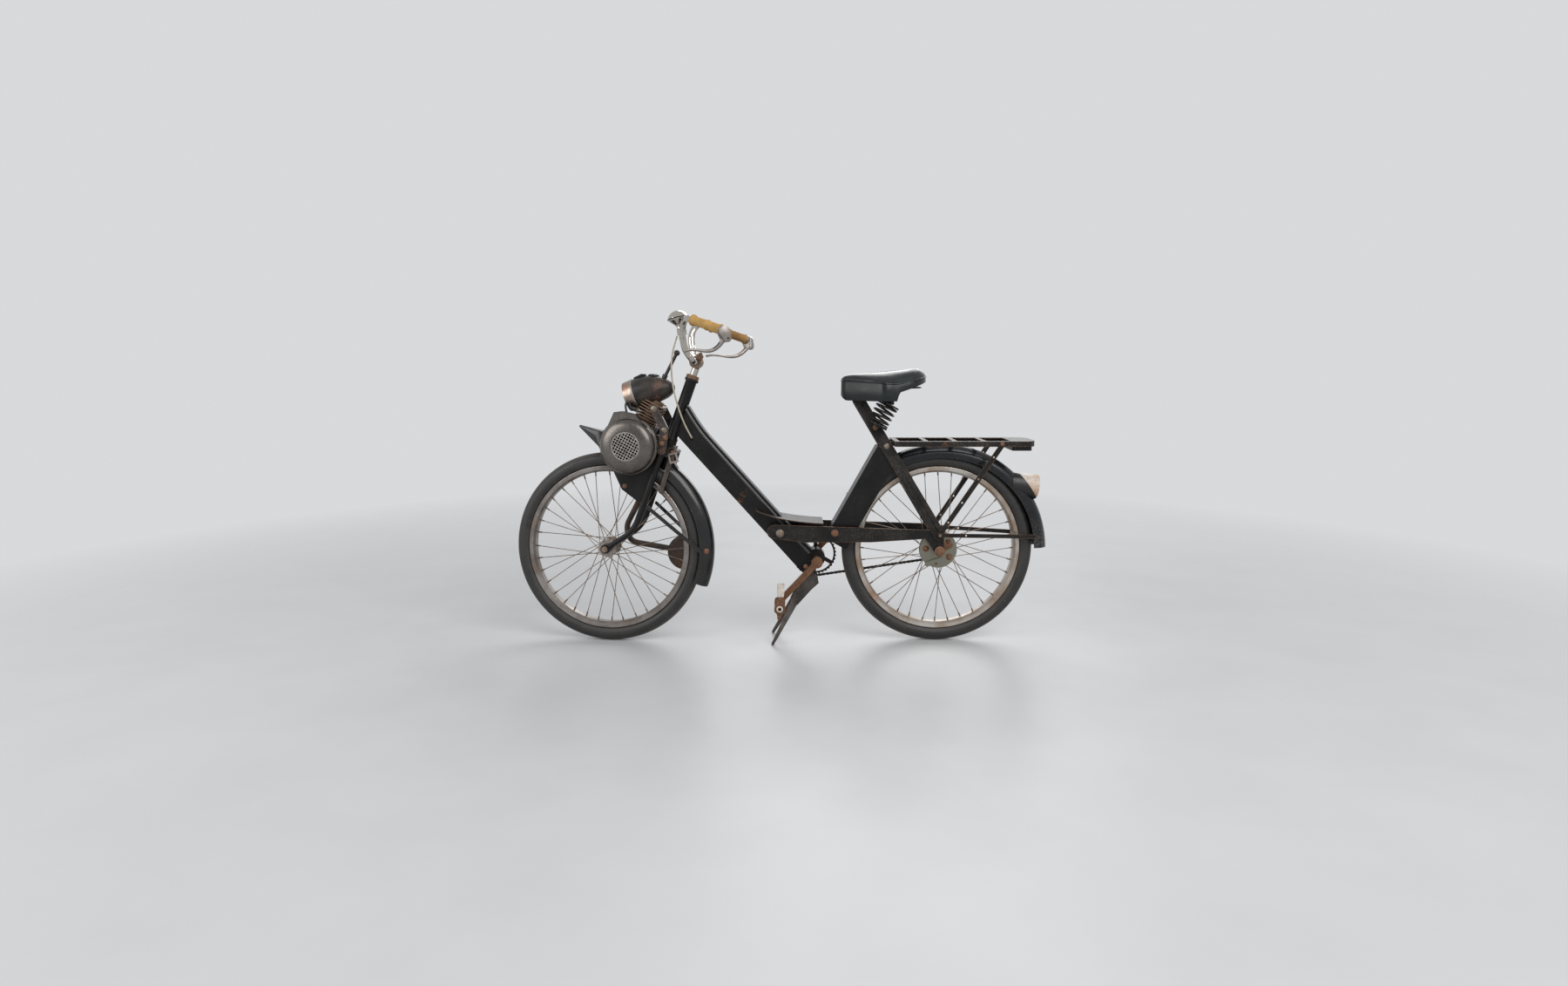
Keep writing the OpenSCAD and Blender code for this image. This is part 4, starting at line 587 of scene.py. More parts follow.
@dataclass
class Shape:
    """Points and faces in millimetres, before they become a piece."""

    points: list[Vector] = field(default_factory=list)
    faces: list[tuple[int, ...]] = field(default_factory=list)

    def add(self, other: "Shape", matrix: Optional[Matrix] = None) -> "Shape":
        """Take in another shape, moved by a matrix.

        Args:
            other: the shape to add.
            matrix: where it goes.

        Returns:
            This shape.
        """
        start = len(self.points)
        self.points += [matrix @ p for p in other.points] if matrix else other.points
        flip = matrix is not None and matrix.determinant() < 0
        for f in other.faces:
            self.faces.append(tuple(start + i for i in (reversed(f) if flip else f)))
        return self

    def moved(self, matrix: Matrix) -> "Shape":
        """A copy moved by a matrix."""
        return Shape().add(self, matrix)

    def mirrored(self) -> "Shape":
        """A copy on the other side of the moped."""
        return self.moved(Matrix.Scale(-1.0, 4, ACROSS))

    @staticmethod
    def loft(rings: Sequence[Sequence[Vector]], cap_start: bool = True, closed: bool = False) -> "Shape":
        """Skin rings of equal count.

        Args:
            rings: points of each ring in order.
            cap_start: close the first ring.
            closed: join the last ring to the first.

        Returns:
            The skinned shape.
        """
        count = len(rings[0])
        s = Shape([Vector(p) for r in rings for p in r])
        for i in range(len(rings) if closed else len(rings) - 1):
            lo, hi = i * count, ((i + 1) % len(rings)) * count
            for k in range(count):
                m = (k + 1) % count
                s.faces.append((lo + k, lo + m, hi + m, hi + k))
        if not closed and cap_start:
            s.faces.append(tuple(reversed(range(count))))
        if not closed:
            s.faces.append(tuple(range((len(rings) - 1) * count, len(rings) * count)))
        return s

    @staticmethod
    def lathe(profile: Sequence[Pair], steps: int, closed: bool = False) -> "Shape":
        """Turn a profile of radius and height about Z.

        Args:
            profile: pairs of radius and height, from the lower end up.
            steps: points round the turn.
            closed: the profile is a ring of its own.

        Returns:
            The turned shape.
        """
        return Shape.loft([[vec(r * c, r * s, h) for c, s in turn(steps)] for r, h in profile], closed=closed)

    @staticmethod
    def sweep(path: Sequence[Vector], radius: Callable[[float], Pair], sides: int, up: Vector = ACROSS,
              closed: bool = False) -> "Shape":
        """Carry an oval section along a path.

        Args:
            path: points of the middle line.
            radius: width across and along up at a share of the path.
            sides: points round the section.
            up: direction that the section's second size keeps to.
            closed: the path is a loop.

        Returns:
            The swept shape.
        """
        rings = []
        last = len(path) - 1
        for i, p in enumerate(path):
            before = path[i - 1] if i or closed else path[0]
            after = path[(i + 1) % len(path)] if i < last or closed else path[last]
            d = (after - before).normalized()
            a = up.cross(d).normalized()
            b = d.cross(a)
            w, h = radius(i / last)
            rings.append([p + a * (w * c) + b * (h * s) for c, s in turn(sides)])
        return Shape.loft(rings, closed=closed)

    @staticmethod
    def wire(path: Sequence[Vector], radius: float, sides: int, up: Vector, closed: bool = False) -> "Shape":
        """A round wire of one thickness along a path."""
        return Shape.sweep(path, lambda t: (radius, radius), sides, up, closed)

    @staticmethod
    def prism(outline: Sequence[Pair], low: float, high: float, ease: float = 0.0) -> "Shape":
        """A plate with a flat outline, standing along Z, its edges eased.

        Args:
            outline: points of the outline, counter-clockwise.
            low: height of its lower face.
            high: height of its upper face.
            ease: size of the eased edge.

        Returns:
            The plate.
        """
        pts = [vec(x, y, 0.0) for x, y in outline]
        mid = sum(pts, Vector()) / len(pts)
        part = 0.3 * ease
        rows = [(low, 0.0), (high, 0.0)]
        if ease:
            rows = [(low, ease), (low + part, part), (low + ease, 0.0)]
            rows += [(high - ease, 0.0), (high - part, part), (high, ease)]
        return Shape.loft([[p + (mid - p).normalized() * inset + vec(0.0, 0.0, h) for p in pts] for h, inset in rows])

    @staticmethod
    def bolt(head_r: float, head_h: float, washer_r: float = 0.0, dome: bool = False) -> "Shape":
        """A bolt head on Z with its washer, standing up from zero.

        Args:
            head_r: radius of the head over its corners.
            head_h: height of the head.
            washer_r: radius of the washer, if any.
            dome: round head in place of a hexagon.

        Returns:
            The bolt's shape.
        """
        s = Shape()
        base = 1.2 if washer_r else 0.0
        top = base + head_h
        if washer_r:
            s.add(Shape.lathe([(washer_r - 0.3, -0.4), (washer_r, 0.0), (washer_r, 0.9), (washer_r - 0.4, base)], 24))
        if dome:
            rows = ((1.0, 0.35), (0.86, 0.72), (0.5, 0.95), (0.1, 1.0))
            return s.add(Shape.lathe([(head_r, base - 0.3)] + [(head_r * r, base + head_h * h) for r, h in rows], 24))
        s.add(Shape.prism([polar(math.pi / 3 * k + 0.3, head_r) for k in range(6)], base - 0.3, top, 0.7))
        stud = head_r * 0.5
        return s.add(Shape.lathe([(stud, top - 0.5), (stud, top + 1.2), (head_r * 0.38, top + 1.8)], 20))

    def piece(self, name: str, finish: Look, body: Body, slot: str, replaces: Iterable[str] = (), subdivide: int = 0,
              sharp: float = 38.0) -> bpy.types.Object:
        """Make a Blender object of the shape and let it ride on a body.

        Args:
            name: the piece's name.
            finish: its finish.
            body: the body it moves with.
            slot: name of a material slot; not used.
            replaces: CAD nodes that it stands for.
            subdivide: levels of subdivision.
            sharp: angle in degrees above which an edge stays sharp.

        Returns:
            The object.
        """
        obj = new_mesh(name, [LAY.place(p, body) for p in self.points], self.faces)
        mesh = obj.data
        mesh.validate()
        mesh.update()
        mesh.shade_smooth()
        if subdivide:
            sub = obj.modifiers.new("round", "SUBSURF")
            sub.levels = sub.render_levels = subdivide
        else:
            mesh.set_sharp_from_angle(angle=math.radians(sharp))
        mesh.materials.append(finish.material())
        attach(obj, body.value)
        if replaces:
            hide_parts(*replaces)
        LOG.info("%s rides on %s", name, body.value)
        return obj


def facing(at: Vector, direction: Vector) -> Matrix:
    """Matrix that stands a shape drawn along Z at a point, along a direction.

    Args:
        at: the point.
        direction: where its Z goes.

    Returns:
        The matrix.
    """
    return Matrix.Translation(at) @ direction.to_track_quat("Z", "Y").to_matrix().to_4x4()


def across(at: Vector, side: Side = Side.LEFT) -> Matrix:
    """Matrix that stands a shape drawn along Z out to one side."""
    return facing(at, ACROSS * side.value)


def smooth_path(pts: Sequence[Vector], per_span: int) -> list[Vector]:
    """A smooth line through points.

    Args:
        pts: places it goes through.
        per_span: steps between two places.

    Returns:
        The line's points.
    """
    out: list[Vector] = []
    for i in range(len(pts) - 1):
        a, b = pts[max(i - 1, 0)], pts[i]
        c, d = pts[i + 1], pts[min(i + 2, len(pts) - 1)]
        for k in range(per_span):
            t = k / per_span
            out.append(0.5 * (2 * b + (c - a) * t + (2 * a - 5 * b + 4 * c - d) * t * t
                              + (3 * b - a - 3 * c + d) * t ** 3))
    return out + [pts[-1]]


def two_discs(first: Colour, second: Colour, steps: int = 40) -> list[Pair]:
    """Outline round two discs and the straight sides between them.

    Args:
        first: place and radius of one disc.
        second: place and radius of the other.
        steps: points of the outline.

    Returns:
        The outline, counter-clockwise.
    """
    out = []
    for c, s in turn(steps):
        x, y, r = max((first, second), key=lambda disc: disc[0] * c + disc[1] * s + disc[2])
        out.append((x + r * c, y + r * s))
    return out


class Dresser:
    """Gives carried-over CAD nodes their finishes and eased edges."""

    rows: tuple[tuple[Look, float, str], ...] = (
        (Paint.BLACK, 1.2, "head_tube main_beam seat_beam valances saddle_mount"),
        (Paint.BLACK, 0.0, "fork fuel_tank"),
        (Paint.FRAME_BAR, 0.9, "chain_stays seat_stays luggage_rack rear_struts footboard"),
        (Paint.GUARD, 0.0, "rear_mudguard"),
        (Paint.FRONT_GUARD, 0.0, "front_mudguard"),
        (Paint.DRUM, 0.8, "rear_axle"),
        (Paint.STEEL, 0.0, "front_axle"),
        (Paint.CHAIN, 0.0, "chainring"),
        (Paint.CREAM, 0.0, "tail_lamp"),
        (Paint.RED, 0.0, "tail_lens"),
        (Paint.CLAMP, 0.0, "stem"),
        (Paint.CHROME, 0.0, "handlebar bell"),
        (Paint.RIM_CHROME, 1.5, "headlamp_rim"),
        (Paint.CLEAR, 0.0, "headlamp_lens"),
        (Paint.STAND, 0.8, "front_brake stand"),
        (Paint.ALLOY, 0.0, "front_hub"),
        (Paint.CASE, 1.0, "crankcase"),
        # The crankshaft's fan behind the grille is dressed near black: oily dark steel with painted shade.
        (Paint.OIL_AND_SHADE, 0.0, "crankshaft"),
        (Paint.RUBBER, 0.0, "lift_lever"),
        (Paint.COVER, 2.0, "fan_cover"),
        (Paint.GRILLE, 0.0, "fan_grille"),
        (Paint.FINS, 0.0, "finned_cylinder"),
        (Paint.ARM, 1.0, "engine_arms"),
        (Paint.SILENCER, 0.0, "exhaust"),
        (Paint.SPOKE, 0.0, "front_spokes rear_spokes"),
        (Paint.FRONT_RIM, 0.0, "front_rim"),
        (Paint.REAR_RIM, 0.0, "rear_rim"),
        (Paint.DRUM, 1.0, "rear_hub"),
        (Paint.CRANK, 2.0, "crank_arms"),
    )

    def dress(self, obj: bpy.types.Object, finish: Look, ease: float) -> None:
        """Paint a node and ease its edges.

        Args:
            obj: the node.
            finish: its finish.
            ease: width of a rounded edge in millimetres.
        """
        obj.data.materials.clear()
        obj.data.materials.append(finish.material())
        if ease:
            obj.modifiers.new("weld", "WELD").merge_threshold = 0.00001
            bevel = obj.modifiers.new("ease", "BEVEL")
            bevel.width = ease / MM
            bevel.segments = 2
            bevel.limit_method = "ANGLE"
            bevel.angle_limit = math.radians(50)
        LOG.info("%s dressed in %s", obj.name, finish.name)

    def build(self) -> None:
        """Dress every carried-over node."""
        for finish, ease, names in self.rows:
            for name in names.split():
                self.dress(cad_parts[name], finish, ease)


# Sub-assemblies


@dataclass
class Wheel:
    """One tyre, drawn over its CAD ring with a ribbed tread."""

    name: str
    body: Body
    axle: Vector
    section: float = 22.5
    rim_foot: float = 15.2
    bead_r: float = 240.3
    wall_r: float = 248.0
    groove: float = 0.9
    line: float = 0.5
    notch: float = 0.7
    steps: int = 240

    def profile(self) -> list[Pair]:
        """Section of the tyre as radius and side distance, all round.

        Returns:
            The closed section.
        """
        middle = LAY.tyre_r - self.section
        out = [(self.bead_r, -self.rim_foot), (self.wall_r, -self.rim_foot)]
        for deg in range(-140, 141, 4):
            a = math.radians(deg)
            r = self.section - 0.05
            if abs(deg) < 58:
                r -= self.groove * max(0.0, -math.cos(a * 9.0) - 0.2)
            elif 84 < abs(deg) < 92 or 112 < abs(deg) < 118:
                r -= self.line
            out.append((middle + r * math.cos(a), r * math.sin(a)))
        return out + [(self.wall_r, self.rim_foot), (self.bead_r, self.rim_foot)]

    def build(self) -> None:
        """Make the tyre, with notches along the tread's shoulders."""
        profile = self.profile()
        tyre = Shape.lathe(profile, self.steps, closed=True)
        for i, (r, h) in enumerate(profile):
            if abs(h) > 13.5 and r > 270.0:
                cut = 1.0 - self.notch / r
                for k in range(0, self.steps, 4):
                    p = tyre.points[i * self.steps + k]
                    p.x, p.y = p.x * cut, p.y * cut
        finish = TyreFinish(f"{self.name}_rubber", LAY.place(self.axle, self.body))
        tyre.moved(across(self.axle, Side.RIGHT)).piece(f"{self.name}_tread", finish, self.body, "tyre_rubber",
                                                        (self.name,), sharp=60.0)


@dataclass
class Saddle:
    """Vinyl saddle: crowned cushion, piping along the crease and a deep hem round the nose and sides."""

    nose: float = 203.0
    corner: float = 352.0
    tail: float = 458.0
    half: float = 100.0
    nose_z: float = 813.5
    tail_z: float = 836.0
    hem_z: float = 738.5
    count: int = 120
    rows: int = 14
    # Skirt from inside the hem up to the crease: inset, share of the way from hem to crease, height above that.
    skirt: tuple[Colour, ...] = (
        (9.0, 0.0, 12.0), (4.6, 0.0, 3.0), (4.2, 0.0, 0.0), (2.2, 0.0, -0.8), (0.9, 0.0, 1.2), (1.4, 0.45, -1.8),
        (1.6, 1.0, -4.0), (3.2, 1.0, -0.8), (3.4, 1.0, 1.2), (1.6, 1.0, 3.4))

    def __post_init__(self) -> None:
        """Settle the outline."""
        self.outline = self.plan()

    def plan(self) -> list[Vector]:
        """Outline of the saddle from above.

        Returns:
            Points round the outline, counter-clockwise, from the tail.
        """
        discs = [(self.nose + 28, 0.0, 28.0), (self.corner - 20, self.half - 34, 34.0),
                 (self.corner - 20, 34 - self.half, 34.0), (self.tail - 82, 0.0, 82.0)]
        mid = vec(self.corner - 30, 0.0)
        points = []
        for k in range(self.count):
            a = FULL_TURN * k / self.count
            d = polar(a)
            reach = math.inf
            for t in range(-45, 46):
                e = polar(a + t * math.pi / 90)
                support = max((vec(x, y) - mid).dot(e) + r for x, y, r in discs)
                reach = min(reach, support / max(0.05, d.dot(e)))
            points.append(mid + d * reach)
        return points

    def crease(self, x: float) -> float:
        """Height of the crease along the saddle."""
        if x < self.corner:
            t = (x - self.nose) / (self.corner - self.nose)
            return 796.0 - 8.0 * t ** 1.3
        t = (x - self.corner) / (self.tail - self.corner)
        return 788.0 + 20.0 * min(1.0, max(0.0, t - 0.08) / 0.92) ** 1.1

    def top(self, x: float) -> float:
        """Height of the cushion's middle line along the saddle."""
        t = max(0.0, min(1.0, (x - self.nose) / (self.tail - self.nose)))
        return self.nose_z + (self.tail_z - self.nose_z) * t - 3.0 * math.sin(math.pi * t)

    def hem(self, x: float) -> float:
        """Height of the hem, which ends behind the corner."""
        low = self.hem_z + 14.0 * max(0.0, 1.0 - (x - self.nose) / 16.0) ** 2
        if x < self.corner + 12.0:
            return low
        t = min(1.0, (x - self.corner - 12.0) / 6.0)
        past = min(1.0, max(0.0, (x - self.corner) / (self.tail - self.corner)))
        return low + (self.crease(x) - 28.0 + 13.0 * past - low) * t * t * (3 - 2 * t)

    def ring(self, inset: float, height: Callable[[float], float], scale: float = 1.0) -> list[Vector]:
        """One ring of the cover.

        Args:
            inset: distance inside the outline.
            height: height along the saddle.
            scale: share of the way from the middle line to the outline.

        Returns:
            The ring's points.
        """
        out = []
        for p in self.outline:
            core = vec(min(max(p.x, self.nose + 34.0), self.tail - 60.0), 0.0)
            d = p - core
            q = core + d * ((d.length - inset) / d.length) * scale
            out.append(vec(q.x, q.y, height(p.x)))
        return out

    def build(self) -> None:
        """Make the cover with its underside, and the piping."""
        rings = [self.ring(inset, lambda x: self.hem(x) * (1.0 - share) + self.crease(x) * share + rise)
                 for inset, share, rise in self.skirt]
        edge, _, seam = self.skirt[-1]
        for k in range(1, self.rows + 1):
            t = k / self.rows
            lift = 1.0 - (1.0 - t) ** 3.6
            ring = self.ring(edge, lambda x: (self.crease(x) + seam) * (1.0 - lift) + self.top(x) * lift,
                             1.0 - t * 0.985)
            for q in ring:
                q.z = min(q.z, self.top(q.x) - (1.0 - lift))
            rings.append(ring)
        cover = Shape.loft(rings, cap_start=False)
        under = len(cover.points)
        cover.points.append(vec(self.corner - 30.0, 0.0, 780.0))
        cover.faces += [((k + 1) % self.count, k, under) for k in range(self.count)]
        obj = cover.piece("saddle_cover", Paint.VINYL, Body.FRAME, "black_vinyl", ("saddle",), sharp=70.0)
        Shape.wire(self.ring(0.9, lambda x: self.crease(x) + 0.2), 1.9, 8, UPRIGHT, closed=True).piece(
            "saddle_piping", Paint.VINYL, Body.FRAME, "black_vinyl")


@dataclass
class DriveChain:
    """Roller chain: side plates and rollers along the loop round both sprockets."""

    ring_r: float = 69.0
    sprocket_r: float = 44.0
    y: float = 48.0
    pitch: float = 12.7
    plate_r: float = 4.0
    waist: float = 2.9
    thick: float = 1.2
    inner: float = 1.4
    outer: float = 2.7
    roller: Pair = (2.6, 3.4)

    def __post_init__(self) -> None:
        """Settle the loop's straight runs and arcs."""
        self.ring, self.sprocket = vec(*LAY.bb), LAY.rear_axle.xz
        d = self.sprocket - self.ring
        line = math.atan2(d.y, d.x)
        step = self.ring_r - self.sprocket_r
        a = math.asin(step / d.length)
        self.run = math.sqrt(d.length ** 2 - step ** 2)
        self.small = (math.pi - 2 * a) * self.sprocket_r
        self.top, self.low = line + math.pi / 2 - a, line - math.pi / 2 + a
        self.length = 2 * self.run + (math.pi + 2 * a) * self.ring_r + self.small

    def point(self, s: float) -> Vector:
        """Point at a distance along the loop.

        Args:
            s: distance from the chainring's top.

        Returns:
            The point in the side view.
        """
        if s < self.run:
            return self.ring + polar(self.top, self.ring_r) + polar(self.top - math.pi / 2, s)
        s -= self.run
        if s < self.small:
            return self.sprocket + polar(self.top - s / self.sprocket_r, self.sprocket_r)
        s -= self.small
        if s < self.run:
            return self.sprocket + polar(self.low, self.sprocket_r) + polar(self.low - math.pi / 2, s)
        return self.ring + polar(self.low - (s - self.run) / self.ring_r, self.ring_r)

    def plate(self) -> Shape:
        """One side plate with a waist, lying from pin to pin along X."""
        h, r, w = self.pitch / 2, self.plate_r, self.waist
        outline = [(math.copysign(h, c) + r * c, r * s) for c, s in turn(24)]
        right = sorted([p for p in outline if p[0] > 0], key=lambda p: math.atan2(p[1], p[0] - h))
        left = sorted([p for p in outline if p[0] < 0], key=lambda p: math.atan2(-p[1], -(p[0] + h)))
        return Shape.prism(right + [(0.0, w)] + left + [(0.0, -w)], -self.thick / 2, self.thick / 2)

    def build(self) -> None:
        """Make every link."""
        count = 2 * int(self.length / self.pitch / 2)
        stops = [self.point(i * self.length / count) for i in range(count)]
        plate = self.plate()
        r, half = self.roller
        roller = Shape.lathe([(r, -half), (r, half)], 10)
        chain = Shape()
        for i, a in enumerate(stops):
            b = stops[(i + 1) % count]
            mid = (a + b) / 2
            lie = Matrix.Rotation(-math.atan2(b.y - a.y, b.x - a.x), 4, "Y") @ spin(90, "X")
            off = self.outer if i % 2 else self.inner
            for s in Side:
                chain.add(plate, Matrix.Translation((mid.x, self.y + s.value * off, mid.y)) @ lie)
            chain.add(roller, across(vec(a.x, self.y, a.y), Side.RIGHT))
        chain.piece("chain_links", Paint.CHAIN, Body.FRAME, "dark_steel", ("drive_chain",))


@dataclass
class Controls:
    """Ribbed grips, and levers hung from the bar's ends."""

    grip_r: float = 13.5
    bar_r: float = 10.0
    ribs: int = 24
    groove: float = 0.9
    sunk: float = -0.35

    def __post_init__(self) -> None:
        """Settle the grips' ends from the steering layout."""
        p = LAY.on_axis(LAY.head_len + 176.0, -4.0)
        self.front = vec(p.x - 22.0, 140.0, p.z)
        self.rear = self.front + vec(101.0, 85.0, -35.0)
        self.along = (self.rear - self.front).normalized()
        self.end = self.rear + self.along * 3.5

    def grip(self) -> Shape:
        """The right grip with its flange, middle band and end, ribbed between them.

        Returns:
            Its shape in place.
        """
        length = (self.rear - self.front).length
        long, low = length - 8.0, self.sunk
        rows = [(start + at, rise) for start, part in (
            (0.0, ((0.0, 2.6), (0.7, 3.0), (2.0, 3.0), (2.4, 1.9), (3.4, 1.9), (3.8, 2.7), (5.0, 2.4), (5.6, 0.0),
                   (7.0, low))),
            (0.47 * length, ((-2.0, low), (-0.8, 0.0), (-0.4, 1.5), (4.4, 1.5), (5.0, 0.0), (6.2, low))),
            (long, ((-8.0, low), (-6.4, 0.0), (-4.2, 1.9), (-0.8, 1.9), (0.0, 1.2)))) for at, rise in part]
        circle = turn(self.ribs * 4)
        rings = []
        for at, rise in rows:
            high = self.grip_r + rise
            deep = high - self.groove if rise == low else high
            radii = (high, high, deep, deep)
            rings.append([vec(radii[k % 4] * c, radii[k % 4] * s, at) for k, (c, s) in enumerate(circle)])
        bore = self.bar_r + 0.3
        rings += [[vec(bore * c, bore * s, at) for c, s in circle] for at in (long, 0.0)]
        return Shape.loft(rings, closed=True).moved(facing(self.front, self.along))

    def cheek(self) -> Matrix:
        """Frame of the right lever's flat cheek: X back, Y up, Z outwards."""
        out = vec(0.46, 0.88, -0.06).normalized()
        up = (UPRIGHT - out * out.z).normalized()
        return Matrix.Translation(self.end) @ Matrix((up.cross(out), up, out)).transposed().to_4x4()

    def lever(self) -> tuple[Shape, Shape, Shape]:
        """The right lever.

        Returns:
            Its housing, its blade and its dark screw holes.
        """
        cheek = self.cheek()
        housing = Shape.prism(two_discs((0.0, -2.0, 15.6), (-8.0, -19.0, 11.4)), -7.0, 8.0, 1.6).moved(cheek)
        housing.add(Shape.prism(two_discs((4.0, -5.0, 13.4), (-1.0, -22.0, 10.4)), -9.6, -6.6, 0.8), cheek)
        housing.add(Shape.lathe([(11.0, -12.0), (13.4, -11.4), (13.8, -9.0), (13.8, -3.0), (12.0, 0.0)], 28),
                    facing(self.end, self.along))
        holes = Shape.lathe([(2.7, -1.0), (2.7, 0.35), (1.8, 0.6), (0.4, 0.3)], 18).moved(
            cheek @ Matrix.Translation((-9.0, -19.0, 8.0)))
        hang = self.end + vec(2.0, 0.0, -14.0)
        path, slot = (smooth_path([hang + vec(*p) for p in row], 6) for row in (
            ((-4.0, -2.0, -7.0), (-11.0, -6.0, -17.0), (-23.0, -13.0, -29.0), (-40.0, -23.0, -37.5),
             (-60.0, -34.0, -39.0), (-83.0, -45.0, -36.0), (-107.0, -55.0, -34.5),
             (-122.0, -61.5, -37.0), (-126.0, -63.5, -40.0)),
            ((-15.0, -1.0, -17.5), (-24.0, -6.4, -26.0), (-36.0, -13.6, -33.0))))

        def section(t: float) -> Pair:
            """Half sizes of the blade, which thins to its tip."""
            tall = 8.4 - 4.6 * min(1.0, t * 1.5) ** 0.7
            wide = 6.8 - 1.2 * t
            return (tall, wide) if t < 0.97 else (tall * 0.7, wide * 0.6)

        lean = vec(0.42, 0.90, 0.0)
        return housing, Shape.sweep(path, section, 18, lean), holes.add(Shape.wire(slot, 1.5, 8, lean))

    def bell_band(self) -> None:
        """Make the dark band round the bell and its thumb lever."""
        place = Matrix.Translation(vec(LAY.clamp.x - 43.0, -60.0, LAY.clamp.z + 126.0)) @ spin(-14.0, "Y")
        band = Shape.lathe([(28.6, -2.6), (30.3, -2.2), (30.7, -0.9), (30.3, 0.5), (28.6, 0.9)], 64).moved(place)
        thumb = [place @ vec(*p) for p in ((4.0, -12.0, -14.0), (14.0, -24.0, -15.0), (24.0, -33.0, -16.0))]
        band.add(Shape.sweep(thumb, lambda t: (4.2 - 1.2 * t, 2.0), 10, UPRIGHT))
        band.piece("bell_band", Paint.SPRING, Body.STEERING, "dark_steel")

    def build(self) -> None:
        """Make the grips, levers and the bell's band."""
        self.bell_band()
        right = self.grip()
        # The far grip takes the darker copy of the rubber, which is painted shade.
        for name, shape, finish in (
                ("left_grip", right.mirrored(), Paint.GRIP), ("right_grip", right, Paint.SHADED_FAR_GRIP)):
            shape.piece(name, finish, Body.STEERING, "tan_rubber", ("grips",), sharp=55.0)
        for shape, name, finish in zip(self.lever(), ("lever_housings", "lever_blades", "lever_screws"),
                                       (Paint.ALLOY, Paint.ALLOY, Paint.SPRING)):
            Shape().add(shape).add(shape.mirrored()).piece(
                name, finish, Body.STEERING, "worn_chrome", ("brake_levers",), sharp=50.0)


@dataclass
class Headlamp:
    """Egg-shaped lamp shell with a seam bead, and a switch and a low cap on top."""

    tilt: float = 17.0
    # Top and bottom of each station in the side view, and its half width.
    stations: tuple[tuple[Pair, Pair, float], ...] = (
        ((-13.4, 44.0), (13.4, -44.0), 46.0), ((-11.5, 44.7), (15.3, -43.4), 46.3),
        ((-3.9, 46.9), (23.0, -41.1), 46.3), ((14.0, 52.2), (38.0, -35.6), 46.2), ((34.0, 56.8), (53.0, -29.6), 45.4),
        ((57.0, 56.6), (69.0, -23.0), 42.5), ((80.0, 53.4), (87.0, -16.6), 38.6), ((99.0, 46.6), (103.0, -8.0), 30.6),
        ((111.0, 38.0), (113.0, 2.0), 21.0), ((117.0, 30.0), (117.6, 10.8), 11.6), ((119.0, 22.0), (119.0, 18.4), 2.4))

    def __post_init__(self) -> None:
        """Settle the lamp's middle from the crankshaft."""
        self.at = LAY.shaft + vec(7.0, 0.0, 152.0)

    def shell(self) -> Shape:
        """The lofted shell from its rim to its tail.

        Returns:
            The shell's shape.
        """
        rings = []
        for (top_x, top_z), (low_x, low_z), wide in self.stations:
            mid = self.at + vec((top_x + low_x) / 2, 0.0, (top_z + low_z) / 2)
            rise = vec((top_x - low_x) / 2, 0.0, (top_z - low_z) / 2)
            rings.append([mid + ACROSS * (wide * c) + rise * s for c, s in turn(48)])
        return Shape.loft(rings)

    def build(self) -> None:
        """Make the shell, its seam bead and what stands on it."""
        self.shell().piece("lamp_shell", Paint.LAMP, Body.ENGINE, "black_paint", ("headlamp",), subdivide=1)
        a = math.radians(self.tilt)
        seam = Shape.lathe([(45.0, -3.2), (47.3, -2.6), (47.9, -0.6), (47.3, 1.2), (45.4, 1.8)], 72)
        seam.moved(facing(self.at, vec(-math.cos(a), 0.0, -math.sin(a)))).piece(
            "lamp_seam", Paint.ALLOY, Body.ENGINE, "worn_chrome")
        switch = Shape.prism([(-5.0, 45.0), (28.0, 51.0), (31.0, 60.5), (18.0, 61.0), (-5.0, 50.0)], -10.0, 10.0, 1.2)
        cap = Shape.lathe([(17.0, -5.0), (17.0, 0.0), (15.6, 2.6), (10.0, 4.6), (1.0, 5.2)], 28)
        switch.moved(Matrix.Translation(self.at) @ spin(90, "X")).add(
            cap, facing(self.at + vec(55.0, 0.0, 56.0), vec(0.06, 0.0, 1.0))).piece(
            "lamp_switch", Paint.BLACK, Body.ENGINE, "black_paint")


@dataclass
class Springs:
    """Two round-wire saddle springs."""

    radius: float = 24.0
    wire: float = 2.75
    length: float = 62.0
    lean: float = 30.0
    y: float = 64.0
    turns: float = 4.5
    seat_share: float = 0.82
    steps: int = 26

    def build(self) -> None:
        """Make both coils."""
        seat = LAY.eye + (LAY.stay_top - LAY.eye) * self.seat_share + vec(10.0, -2.0)
        rise = self.length - 2 * self.wire - 0.5
        count = int(self.steps * self.turns)
        coil = []
        for i in range(count + 1):
            t = self.turns * i / count
            ease = min(1.0, max(0.0, (t - 0.35) / (self.turns - 0.7)))
            coil.append(vec(*polar(FULL_TURN * t, self.radius), 6.0 + self.wire + 0.25 + rise * ease))
        shape = Shape.wire(coil, self.wire, 10, UPRIGHT)
        both = Shape()
        for s in Side:
            both.add(shape, Matrix.Translation((seat.x, s.value * self.y, seat.y)) @ spin(self.lean, "Y"))
        both.piece("spring_coils", Paint.SPRING, Body.FRAME, "dark_steel", ("saddle_springs",))


